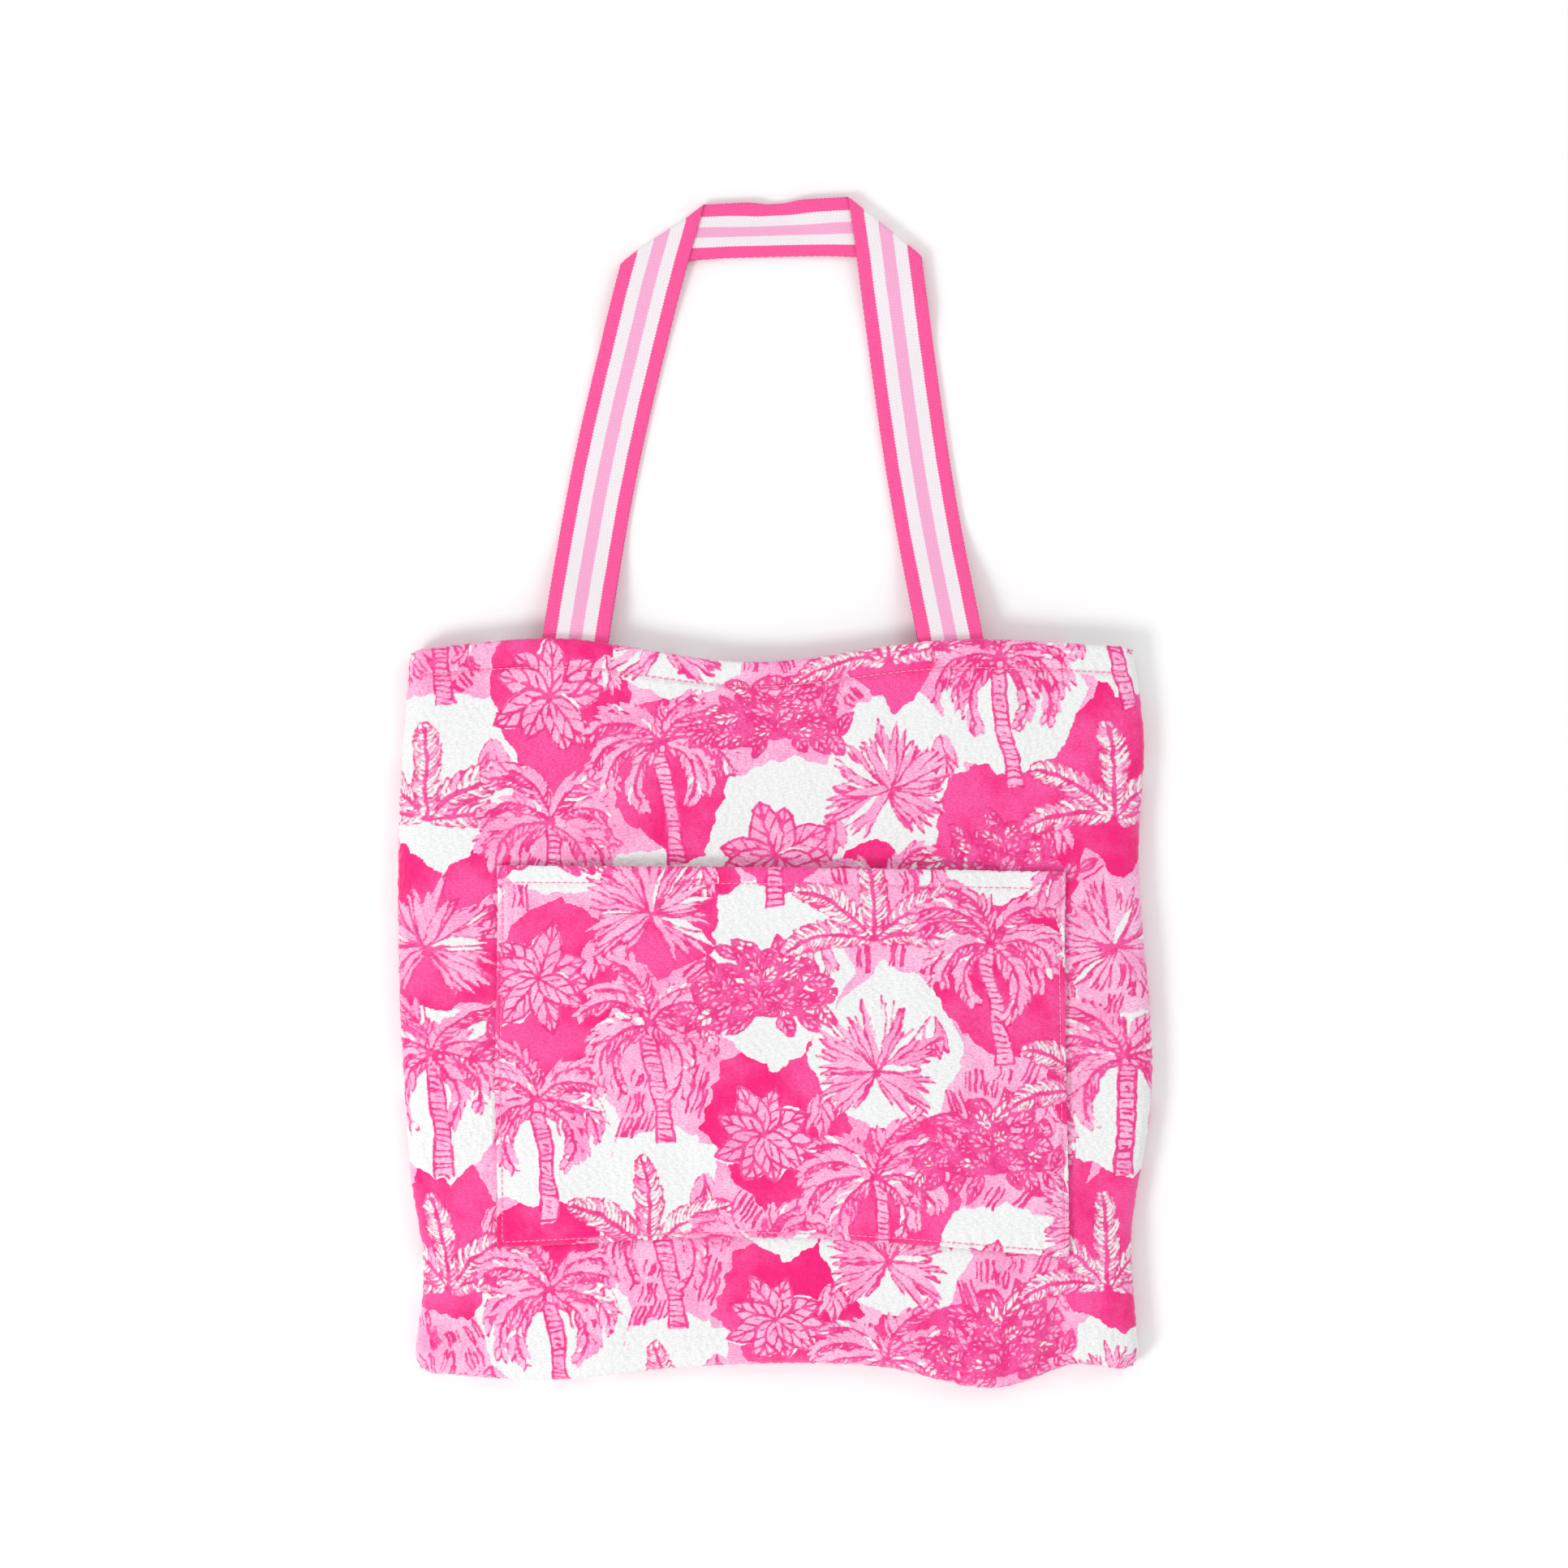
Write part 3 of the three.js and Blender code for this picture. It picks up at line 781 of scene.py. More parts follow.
# ---------------------------------------------------------------- pocket

POCKET_TOP = [(-170, 86), (0, 85), (180, 82)]
POCKET_FOOT = [(-170, -138), (0, -132), (180, -144)]
POCKET_W, POCKET_H = 334.0, 224.0


def pocket_place(u, v):
    """A place on the pocket, from shares of its width and height, 0 to 1 from the lower left."""
    left = -163.0 + 0.5 * np.sin(v * 9) - 0.7 * bump(v, 0.35, 0.2)
    right = 171.8 - 2.0 * v + 0.5 * np.sin(v * 7 + 1) - 0.9 * bump(v, 0.8, 0.15)
    x = left + (right - left) * u
    low, high = curve(POCKET_FOOT, x), curve(POCKET_TOP, x)
    return x, low + (high - low) * v


def front_surface(x, y):
    """The face of the front cloth under the pocket."""
    return body_height(x, y)


def pocket_height(u, v, x, y):
    """The pocket's outer face: it lies on the front along its seams and stands off in the middle."""
    across = np.minimum(u, 1 - u) * POCKET_W
    up = v * POCKET_H
    from_seam = np.minimum(across, up)
    gape = smooth(across, 3, 95) * smooth(up, 3, 130)
    gap = 0.35 + 1.2 * smooth(from_seam, 2.5, 14) + 4.2 * gape
    height = front_surface(x, y) + gap + CLOTH_T * (0.75 + 0.25 * smooth(from_seam, 0, 4))
    height += 0.5 * ripple(x, y, 21, 70) * smooth(from_seam, 4, 40) + 0.22 * ripple(x, y, 22, 26, 9)
    height += crease(x, y, (-150, 78), (-80, 30), 12, 0.9) + crease(x, y, (158, 74), (90, 24), 13, -0.9)
    height += crease(x, y, (150, -120), (90, -70), 12, 0.9) + crease(x, y, (-150, -120), (-96, -84), 12, 0.8)
    height += crease(x, y, (-40, -128), (-60, -70), 14, -0.7) + crease(x, y, (60, -130), (30, -60), 15, 0.7)
    return height


POCKET_STITCH = 3.2


def pocket_relief(across, up, below, x, y):
    """Stitch grooves and puckers: along both sides and the foot, and under the pocket's hem."""
    sides = np.minimum(across, up)
    shape = -1.05 * bump(sides, POCKET_STITCH, 1.1)
    shape += 0.28 * np.sin(y * 2 * math.pi / 7.1 + np.sin(y / 13)) * bump(across, POCKET_STITCH + 3, 4)
    shape += 0.3 * np.sin(x * 2 * math.pi / 7.9 + np.sin(x / 15)) * bump(up, POCKET_STITCH + 3, 4)
    hem_step = 0.55 * smooth(below, POCKET_HEM_W + 1.5, POCKET_HEM_W - 1.5)
    shape += hem_step - 0.9 * bump(below, POCKET_HEM_W, 1.2)
    shape += 0.22 * np.sin(x * 2 * math.pi / 6.7 + 2 * np.sin(x / 21)) * bump(below, POCKET_HEM_W, 4)
    return shape


def pocket_cloth(materials):
    pitch = 0.8
    flat_x, flat_y = flat_grid(POCKET_W + 4, POCKET_H + 7, pitch)
    width, length = POCKET_W + 4, POCKET_H + 7
    edge = np.array([(0, 1.3, -2.3), (1.2, 0.3, -1.6), (2.0, 0, -0.9), (2.9, 0.25, -0.3),
                     (4.2, 1.2, 0), (6, 3, 0)])
    mouth = np.array([(0, 0.9, -3.6), (1.4, 0.2, -2.6), (2.6, 0, -1.6), (3.6, 0.3, -0.6),
                      (5, 1.5, -0.1), (7, 3.3, 0)])

    def turned(cloth, table):
        inside = np.where(cloth < table[-1, 0], np.interp(cloth, table[:, 0], table[:, 1]),
                          cloth - table[-1, 0] + table[-1, 1])
        return inside, np.interp(cloth, table[:, 0], table[:, 2])

    left_in, left_drop = turned(flat_x, edge)
    right_in, right_drop = turned(width - flat_x, edge)
    foot_in, foot_drop = turned(flat_y, edge)
    top_in, top_drop = turned(length - flat_y, mouth)
    span_x, span_y = 2 * 3 - 2 * 6 + width, 3 - 6 + 3.3 - 7 + length
    u = np.where(flat_x < width / 2, left_in, span_x - right_in) / span_x
    v = np.where(flat_y < length / 2, foot_in, span_y - top_in) / span_y
    x, y = pocket_place(u, v)
    across, up, below = np.minimum(u, 1 - u) * POCKET_W, v * POCKET_H, (1 - v) * POCKET_H
    z = pocket_height(u, v, x, y) + pocket_relief(across, up, below, x, y)
    z += left_drop + right_drop + foot_drop + top_drop
    z = np.maximum(z, front_surface(x, y) + 0.2)
    outer = np.stack([x, y, z], -1)
    normals = grid_normals(outer)
    outer = pile(outer, normals, 71, 0.26)
    rows, columns = kept_indices(outer.shape[0], 4), kept_indices(outer.shape[1], 4)
    thick = CLOTH_T * (0.35 + 0.65 * smooth(np.minimum(across, up), 0.5, 6))
    thick = thick * (1 + 0.6 * smooth(below, POCKET_HEM_W + 1, POCKET_HEM_W - 1) * smooth(below, 0, 3))
    inner = (outer - normals * thick[..., None])[np.ix_(rows, columns)]
    kept = np.ix_(rows, columns)
    inner[..., 2] = np.maximum(inner[..., 2], front_surface(x[kept], y[kept]) + 0.05)
    cloth_at = np.stack([flat_x, flat_y, np.full_like(flat_x, 90.0)], -1) * MM
    marks = {"cloth_at": cloth_at, **ink(x + POCKET_CUT[0], y + POCKET_CUT[1])}
    piece = shell_piece("pocket_cloth", outer, inner, rows, columns, materials, marks)
    follow = smooth(across, 2, 68)
    return piece, (width, length), both_sides(follow, rows, columns)


# ---------------------------------------------------------------- webbing handles

STRAP_PATH = [(-117, 213), (-66, 453), (65, 460), (103, 213)]
LEFT_LEG = [(190, 0), (315, -6), (440, -1)]
RIGHT_LEG = [(190, 2), (310, -2), (440, -1)]
STRAP_TAIL = 18.0
FOLD_RADIUS = 1.0


def in_steps(points, at):
    """Levels joined by soft steps."""
    points = np.array(points, float)
    i = np.clip(np.searchsorted(points[:, 0], at) - 1, 0, len(points) - 2)
    start, end = points[i, 0], points[i + 1, 0]
    share = np.clip((at - start) / (end - start), 0, 1)
    share = share * share * (3 - 2 * share)
    return points[i, 1] + (points[i + 1, 1] - points[i, 1]) * share


def fold_over(place, z, centre, angle, direction):
    """Folds the part of a ribbon beyond a line flat over (direction 1) or under (-1) the rest."""
    away = np.array([-math.sin(angle), math.cos(angle)])
    beyond = (place - centre) @ away
    half = math.pi * FOLD_RADIUS / 2
    turn = np.clip((beyond + half) / FOLD_RADIUS, 0, math.pi)
    curved = -half + FOLD_RADIUS * np.sin(turn)
    bent = np.where(beyond < -half, beyond, np.where(beyond > half, -beyond, curved))
    return place + (bent - beyond)[..., None] * away, z + direction * FOLD_RADIUS * (1 - np.cos(turn))


def strap(name, levels, material, seed):
    """A webbing handle: up one leg, folded over at both corners of its level top, down the other leg.
    levels maps (leg length, whole length between feet) to (place along, height) pairs."""
    path = np.array(STRAP_PATH, float)
    runs = np.diff(path, axis=0)
    lengths = np.hypot(*runs.T)
    headings = np.arctan2(runs[:, 1], runs[:, 0])
    first, second = lengths[0], lengths[0] + lengths[1]
    whole = lengths.sum()
    tilts = [(headings[0] + headings[1]) / 2, (headings[1] + headings[2]) / 2]
    shears = [1 / math.tan(tilts[0] - headings[0]), -1 / math.tan(tilts[1] - headings[1])]

    even = np.arange(-STRAP_TAIL, whole + STRAP_TAIL + 0.1, 1.3)
    close = np.arange(-4.5, 4.6, 0.35)
    even = even[(np.abs(even - first) > 5) & (np.abs(even - second) > 5)]
    rows = np.sort(np.concatenate([even, first + close, second + close]))
    columns = np.concatenate([[-19, -18.4], np.linspace(-17.4, 17.4, 23), [18.4, 19]])
    along, across = np.meshgrid(rows, columns, indexing="ij")
    lean = shears[0] * smooth(np.abs(rows - first), 100, 12) * (rows < first + 100)
    lean = lean + shears[1] * smooth(np.abs(rows - second), 100, 12)
    run = along + lean[:, None] * across
    edge = np.zeros(len(columns))
    edge[0], edge[-1] = -1, 1
    narrow = 1 - 0.08 * smooth(rows, first + 24, first + 50) * smooth(rows, second - 24, second - 50)
    spread = across * narrow[:, None] + 0.17 * edge * np.where(np.arange(len(rows)) % 2, 1, -1)[:, None]

    start = path[0] + np.array([math.cos(headings[0]), math.sin(headings[0])]) * run[..., None]
    place = start + np.array([-math.sin(headings[0]), math.cos(headings[0])]) * spread[..., None]
    z = in_steps(levels(first, second, whole), along)
    z = z + 0.12 * ripple(along, across, seed, 60)
    place, z = fold_over(place, z, path[1], tilts[0], -1)
    place, z = fold_over(place, z, path[2], tilts[1], 1)
    x, y = place[..., 0].copy(), place[..., 1].copy()
    place[..., 0] += smooth(run, second - 20, second + 40) * curve(RIGHT_LEG, y)
    place[..., 0] += smooth(run, first + 20, first - 40) * curve(LEFT_LEG, y)
    low_lift = curve([(-100, 8), (0, 6), (100, 2)], x)
    lift = low_lift + (1.8 - low_lift) * smooth(y, 436, 472)
    place[..., 1] += lift * smooth(y, 300, 436)

    middle = np.concatenate([place, z[..., None]], -1)
    normal = -grid_normals(middle)
    thick = STRAP_T * (0.94 - 0.35 * smooth(np.abs(across), 17.2, 19))
    outer = middle + normal * thick[..., None] / 2
    inner = middle - normal * thick[..., None] / 2
    every_row, every_column = list(range(len(rows))), list(range(len(columns)))
    marks = {"ribbon_at": np.stack([run, across, np.zeros_like(run)], -1) * MM}
    piece = shell_piece(name, outer, inner, every_row, every_column, [material, material], marks, -1)
    return piece, whole + 2 * STRAP_TAIL


def front_levels(first, second, whole):
    low, high = 2.5, 6.5
    return [(-18, 14.9), (0, 14.9), (80, low), (first - 72, low), (first - 28, high), (first + 28, high),
            (first + 58, low + 2), (second - 58, low + 2), (second - 28, high), (second + 28, high),
            (second + 72, low), (whole - 80, low), (whole, 14.9), (whole + 18, 14.9)]


def back_levels(first, second, whole):
    low, high = 0.85, 2.85
    return [(-18, 6.3), (0, 6.3), (60, low), (first - 70, low), (first - 34, high), (second + 34, high),
            (second + 70, low), (whole - 60, low), (whole, 6.3), (whole + 18, 6.3)]


# ---------------------------------------------------------------- threads

def threads(name, starts, ends, normals, radius, rise, material):
    """Short stitches of real thread, each from a start to an end, arched away from the cloth."""
    starts, ends, normals = (np.asarray(v, float).reshape(-1, 3) for v in (starts, ends, normals))
    share = np.array([0.0, 0.2, 0.5, 0.8, 1.0])
    arch = np.array([-0.6, 0.55, 1.0, 0.55, -0.6]) * rise
    width = np.array([0.7, 1.0, 1.05, 1.0, 0.7]) * radius
    middle = starts[:, None] + (ends - starts)[:, None] * share[None, :, None]
    middle = middle + normals[:, None] * arch[None, :, None]
    along = ends - starts
    along = along / np.linalg.norm(along, axis=-1, keepdims=True)
    sideways = np.cross(along, normals)
    sides = 6
    turn = np.arange(sides) * 2 * math.pi / sides
    ring = (normals[:, None, None] * np.cos(turn)[None, None, :, None]
            + sideways[:, None, None] * np.sin(turn)[None, None, :, None]) * width[None, :, None, None]
    points = (middle[:, :, None] + ring).reshape(-1, 3)
    index = np.arange(len(points)).reshape(len(starts), len(share), sides)
    following = np.roll(index, -1, axis=2)
    walls = np.stack([index[:, :-1], following[:, :-1], following[:, 1:], index[:, 1:]], -1).reshape(-1, 4)
    caps = [list(ring[::-1]) for ring in index[:, 0]] + [list(ring) for ring in index[:, -1]]
    return mesh_piece(name, points, [(walls[:, ::-1], 0), ([c[::-1] for c in caps], 0)], [material])


def stitch_ends(line, length, gap, seed=1):
    """Ends of the stitches along a line of points, each a little off the line."""
    line = np.asarray(line, float)
    rng = np.random.default_rng(seed)
    far = np.concatenate([[0], np.cumsum(np.linalg.norm(np.diff(line, axis=0), axis=1))])
    count = int(far[-1] / (length + gap))
    begin = (np.arange(count) + 0.5) * far[-1] / count - length / 2 + rng.normal(0, 0.08, count)
    ends = [np.stack([np.interp(at, far, line[:, k]) for k in range(3)], 1) for at in (begin, begin + length)]
    return ends[0], ends[1] + rng.normal(0, 0.06, (count, 3)) * [1, 1, 0]


UP, DOWN = np.array([0, 0, 1.0]), np.array([0, 0, -1.0])


def stitch_line(name, lines, material, length=2.9, gap=0.9, radius=0.36, rise=0.3, normal=UP):
    pairs = [stitch_ends(line, length, gap, 5 + k) for k, line in enumerate(lines)]
    starts, ends = (np.vstack([p[k] for p in pairs]) for k in (0, 1))
    return threads(name, starts, ends, np.broadcast_to(normal, starts.shape), radius, rise, material)


def front_face(x, y):
    """Places on the front cloth's outer face near the mouth, from nominal ones."""
    inset = HALF_W - np.abs(x)
    cloth = np.interp(inset, SIDE_IN[2:], SIDE_AT[2:])
    up = np.interp(cloth, SIDE_AT, SIDE_UP)
    z = SEAM_Z + (body_height(x, y) + hem_relief(x, MOUTH_Y - y) - SEAM_Z) * up
    shape_x, shape_y = to_outline(x, y, BOTTOM_Y, MOUTH_Y)
    return np.stack([shape_x, shape_y, z], -1)


def pocket_face(u, v):
    x, y = pocket_place(u, v)
    across, up, below = np.minimum(u, 1 - u) * POCKET_W, v * POCKET_H, (1 - v) * POCKET_H
    z = pocket_height(u, v, x, y) + pocket_relief(across, up, below, x, y)
    return np.stack([x, y, z], -1)


def bar_tack(name, node, material):
    """Close zigzag stitching across the end of a strap."""
    low, high = cad(node)
    count = int((high[0] - low[0]) / 0.85)
    x = np.linspace(low[0] + 0.5, high[0] - 0.5, count)
    z = np.full(count, (low[2] + high[2]) / 2 - 0.1)
    starts = np.stack([x, np.full(count, low[1] + 0.2), z], 1)
    ends = np.stack([x + 0.4, np.full(count, high[1] - 0.2), z], 1)
    return threads(name, starts, ends, np.broadcast_to(UP, starts.shape), 0.34, 0.2, material)


def seam_allowance(name, along_x, fixed, edge, span, width, material, seed):
    """The doubled raw edges inside a seam: a soft strip that follows the outline and waves a little."""
    far = np.linspace(span[0], span[1], int(abs(span[1] - span[0]) / 2.0))
    near = np.linspace(0, 1, 9)
    run, share = np.meshgrid(far, near, indexing="ij")
    out = fixed + curve(edge, run)
    out += np.sign(-fixed) * (2.4 + width * share + 0.5 * share * ripple(run, run * 0, seed, 40))
    wave = 0.45 * share * ripple(run, run * 0, seed + 1, 26)
    x, y = (run, out) if along_x else (out, run)
    half = 2.1 * (0.75 + 0.25 * np.sin(math.pi * share))
    top = np.stack([x, y, SEAM_Z + 0.3 + wave + half], -1)
    under = np.stack([x, y, SEAM_Z + 0.3 + wave - half], -1)
    facing = 1 if (np.cross(top[0, 1] - top[0, 0], top[1, 0] - top[0, 0])[2] > 0) else -1
    marks = {"cloth_at": np.stack([run, out, top[..., 2]], -1) * MM}
    rows, columns = list(range(len(far))), list(range(len(near)))
    piece = shell_piece(name, top, under, rows, columns, [material, material], marks, facing)
    return piece, top[:, -1], under[:, -1]


def overlock(name, top, under, material):
    """Thread looped round a raw edge, zigzag on both faces and across it."""
    far = np.concatenate([[0], np.cumsum(np.linalg.norm(np.diff(top, axis=0), axis=1))])
    at = np.arange(1.0, far[-1] - 1.0, 3.0)
    def pick(line, where):
        return np.stack([np.interp(where, far, line[:, k]) for k in range(3)], 1)

    inward = np.array([0, 1.0, 0]) if abs(top[0, 0] - top[-1, 0]) > 100 else np.array([1.0, 0, 0])
    inward = inward * -np.sign((top.mean(0) * inward).sum())
    outer_edge = [pick(line, at) for line in (top, under)]
    starts = [outer_edge[0] - inward * 2.2, outer_edge[0] + inward * 0.3, outer_edge[1] - inward * 2.2]
    ends = [pick(top, at + 1.3) + inward * 0.2, pick(under, at + 1.0) + inward * 0.3, pick(under, at + 1.3)]
    normals = [np.broadcast_to(n, outer_edge[0].shape) for n in (UP, inward, DOWN)]
    return threads(name, np.vstack(starts), np.vstack(ends), np.vstack(normals), 0.3, 0.15, material)


# ---------------------------------------------------------------- materials

def srgb(red, green, blue):
    """Screen colour, 0 to 255, as the linear colour that Blender uses."""
    scaled = [v / 255 for v in (red, green, blue)]
    linear = [v / 12.92 if v <= 0.04045 else ((v + 0.055) / 1.055) ** 2.4 for v in scaled]
    return (*linear, 1.0)


class Look:
    """A node material being built."""

    def __init__(self, name, roughness, specular=0.2, sheen=0.0):
        self.material = bpy.data.materials.new(name)
        self.material.use_nodes = True
        self.tree = self.material.node_tree
        self.shader = self.tree.nodes["Principled BSDF"]
        self.shader.inputs["Roughness"].default_value = roughness
        self.shader.inputs["Specular IOR Level"].default_value = specular
        self.shader.inputs["Sheen Weight"].default_value = sheen
        self.shader.inputs["Sheen Roughness"].default_value = 0.6

    def put(self, socket, value):
        if isinstance(value, bpy.types.NodeSocket):
            self.tree.links.new(value, socket)
        else:
            socket.default_value = value

    def attribute(self, name, vector=False):
        node = self.tree.nodes.new("ShaderNodeAttribute")
        node.attribute_name = name
        return node.outputs["Vector" if vector else "Fac"]

    def math(self, operation, a, b=0.0):
        node = self.tree.nodes.new("ShaderNodeMath")
        node.operation = operation
        self.put(node.inputs[0], a)
        self.put(node.inputs[1], b)
        return node.outputs[0]

    def noise(self, vector, millimetres, detail=2.0, roughness=0.5):
        node = self.tree.nodes.new("ShaderNodeTexNoise")
        self.put(node.inputs["Vector"], vector)
        node.inputs["Scale"].default_value = 1 / (millimetres * MM)
        node.inputs["Detail"].default_value = detail
        node.inputs["Roughness"].default_value = roughness
        return node.outputs[0]

    def ramp(self, value, low, high, to_low=0.0, to_high=1.0):
        node = self.tree.nodes.new("ShaderNodeMapRange")
        node.interpolation_type = "SMOOTHSTEP"
        self.put(node.inputs["Value"], value)
        for key, number in (("From Min", low), ("From Max", high), ("To Min", to_low), ("To Max", to_high)):
            node.inputs[key].default_value = number
        return node.outputs[0]

    def mix(self, share, a, b, kind="MIX"):
        node = self.tree.nodes.new("ShaderNodeMix")
        node.data_type = "RGBA"
        node.blend_type = kind
        self.put(node.inputs["Factor"], share)
        self.put(node.inputs[6], a)
        self.put(node.inputs[7], b)
        return node.outputs[2]

    def finish(self, colour, height=None, strength=0.4, distance=0.4):
        self.put(self.shader.inputs["Base Color"], colour)
        if height is not None:
            node = self.tree.nodes.new("ShaderNodeBump")
            node.inputs["Strength"].default_value = strength
            node.inputs["Distance"].default_value = distance * MM
            self.put(node.inputs["Height"], height)
            self.put(self.shader.inputs["Normal"], node.outputs[0])
        return self.material


def velour_look(name):
    """Sheared printed pile: three inks bled into white cloth, with painted shading that makes the hot pink
    lighter and deeper in patches where the pile lies differently, and painted shade in the hollows of the
    pile grain.
    """
    look = Look(name, 0.92, 0.1, 0.25)
    at = look.attribute("cloth_at", vector=True)
    bleed = look.math("MULTIPLY", look.math("SUBTRACT", look.noise(at, 2.2, 3.0), 0.5), 0.9)
    ticks = look.tree.nodes.new("ShaderNodeMapping")
    look.put(ticks.inputs["Vector"], at)
    ticks.inputs["Scale"].default_value = (0.55, 1.15, 1.0)
    grain = look.noise(ticks.outputs[0], 1.0, 3.0, 0.75)
    inks = {}
    for key, low, high in (("light", 0.3, 0.7), ("hot", 0.3, 0.7), ("line", 0.14, 0.68)):
        inks[key] = look.ramp(look.math("ADD", look.attribute("print_" + key), bleed), low, high)
    wash = look.ramp(look.noise(at, 26, 3.0, 0.6), 0.34, 0.66)
    light = look.mix(wash, srgb(255, 208, 233), srgb(253, 176, 216))
    # painted pile shading: the hot pink turns lighter and deeper in random patches, as light falls on pile
    # lying different ways
    nap_shade_mix = look.ramp(look.noise(at, 55, 4.0, 0.62), 0.36, 0.64)
    hot = look.mix(nap_shade_mix, srgb(249, 28, 130), srgb(253, 94, 170))
    pen = look.mix(look.ramp(look.noise(at, 9, 2.0), 0.4, 0.6), srgb(240, 32, 138), srgb(248, 80, 164))
    colour = look.mix(inks["light"], srgb(246, 246, 246), light)
    colour = look.mix(inks["hot"], colour, hot)
    colour = look.mix(look.math("MULTIPLY", inks["line"], 0.94), colour, pen)
    # painted shade: the pile grain's hollows are darkened, grey on white cloth and pink on dyed cloth
    shade = look.ramp(grain, 0.6, 0.4)
    dyed = look.math("MAXIMUM", inks["light"], look.math("MAXIMUM", inks["hot"], inks["line"]))
    hollow_shade_tint = look.mix(dyed, srgb(238, 239, 240), srgb(243, 198, 224))
    colour = look.mix(shade, colour, look.mix(1.0, colour, hollow_shade_tint, "MULTIPLY"))
    height = look.math("ADD", grain, look.math("MULTIPLY", look.noise(at, 2.6, 2.0), 1.2))
    return look.finish(colour, height, 0.6, 0.8)


def terry_look(name):
    """The looped reverse: undyed loops with the print showing faintly through, and painted shade between the
    loops.
    """
    look = Look(name, 0.95, 0.1, 0.2)
    at = look.attribute("cloth_at", vector=True)
    loops = look.tree.nodes.new("ShaderNodeTexVoronoi")
    look.put(loops.inputs["Vector"], at)
    loops.inputs["Scale"].default_value = 1 / (1.7 * MM)
    through = look.ramp(look.noise(at, 30, 3.0), 0.35, 0.7)
    colour = look.mix(through, srgb(249, 236, 243), srgb(248, 205, 225))
    # painted shade: darker pink in the hollows between the loops, where the height falls away
    colour = look.mix(look.ramp(loops.outputs[0], 0.1, 0.7), colour, srgb(238, 190, 212))
    height = look.math("SUBTRACT", 1.0, loops.outputs[0])
    return look.finish(colour, height, 0.6, 0.6)


def webbing_look(name):
    """Twill webbing: hot edges, two white stripes and a light one down the middle, with painted shade in the
    twill grooves.
    """
    look = Look(name, 0.75, 0.25, 0.1)
    at = look.attribute("ribbon_at", vector=True)
    split = look.tree.nodes.new("ShaderNodeSeparateXYZ")
    look.put(split.inputs[0], at)
    along, across = split.outputs[0], split.outputs[1]
    off = look.math("ABSOLUTE", across)
    tooth = look.math("MULTIPLY", look.math("PINGPONG", along, 0.9 * MM), 0.6)
    off = look.math("ADD", off, tooth)
    slip = look.math("MULTIPLY", look.math("SUBTRACT", look.noise(at, 14, 1.0), 0.5), 0.5 * MM)
    off = look.math("ADD", off, slip)
    light = look.ramp(off, 4.2 * MM, 3.9 * MM)
    hot = look.ramp(off, 11.3 * MM, 11.7 * MM)
    tone = look.noise(at, 1.1, 2.0)
    pink = look.mix(tone, srgb(253, 112, 176), srgb(248, 62, 144))
    pale = look.mix(tone, srgb(252, 188, 222), srgb(248, 160, 208))
    white = look.mix(tone, srgb(252, 247, 249), srgb(240, 232, 237))
    colour = look.mix(hot, look.mix(light, white, pale), pink)
    slant = look.math("ADD", along, look.math("MULTIPLY", off, 0.8))
    rib = look.math("SINE", look.math("MULTIPLY", slant, 2 * math.pi / (1.5 * MM)))
    rib = look.ramp(rib, -1.0, 1.0)
    # painted shade: the twill grooves along the slanting ribs are darkened, pink on the hot edges and grey
    # elsewhere
    hollow_shade_tint = look.mix(hot, srgb(226, 216, 222), srgb(244, 176, 208))
    colour = look.mix(look.math("MULTIPLY", rib, 0.42), colour, look.mix(1.0, colour, hollow_shade_tint, "MULTIPLY"))
    cross = look.math("SINE", look.math("MULTIPLY", across, 2 * math.pi / (1.0 * MM)))
    height = look.math("SUBTRACT", look.math("MULTIPLY", cross, 0.15), rib)
    return look.finish(colour, height, 0.5, 0.25)


def thread_look(name):
    look = Look(name, 0.6, 0.3, 0.1)
    geometry = look.tree.nodes.new("ShaderNodeTexCoord").outputs["Object"]
    colour = look.mix(look.noise(geometry, 1.5, 2.0), srgb(254, 168, 208), srgb(250, 112, 176))
    return look.finish(colour, look.noise(geometry, 0.5, 1.0), 0.3, 0.1)


VELOUR = velour_look("velour")
POCKET_VELOUR = velour_look("pocket_velour")
TERRY = terry_look("terry")
WEBBING = webbing_look("webbing")
THREAD = thread_look("thread")


# ---------------------------------------------------------------- the pieces

front, front_flat = body_cloth(
    "front_cloth", 1, 0.85, [VELOUR, TERRY], lambda x, y: (x, y))
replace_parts(front, "front_panel")

back, back_flat = body_cloth(
    "back_cloth", -1, 1.3, [VELOUR, TERRY], lambda x, y: (-x + 8, y - 38))
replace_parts(back, "back_panel")

pocket, pocket_flat, pocket_follow = pocket_cloth([POCKET_VELOUR, TERRY])
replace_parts(pocket, "pocket_panel")

front_strap, strap_length = strap("front_strap", front_levels, WEBBING, 31)
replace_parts(front_strap, "front_handle", "front_handle_left_end", "front_handle_right_end")
back_strap, _ = strap("back_strap", back_levels, WEBBING, 32)
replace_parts(back_strap, "back_handle", "back_handle_left_end", "back_handle_right_end")

hem_x = np.linspace(-206, 206, 600)
hem_y = np.full_like(hem_x, MOUTH_Y - HEM_W)
front_hem = stitch_line("front_hem_stitches", [front_face(hem_x, hem_y) + UP * 0.15], THREAD)
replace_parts(front_hem, "front_hem_thread")

hem_shape = np.stack([*to_outline(hem_x, hem_y, BOTTOM_Y, MOUTH_Y), np.full_like(hem_x, 0.75)], 1)
inside_hem = hem_shape[60:-60] + UP * 5.1
back_hem = stitch_line("back_hem_stitches", [hem_shape[20:-20], inside_hem], THREAD)
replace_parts(back_hem, "back_hem_thread")

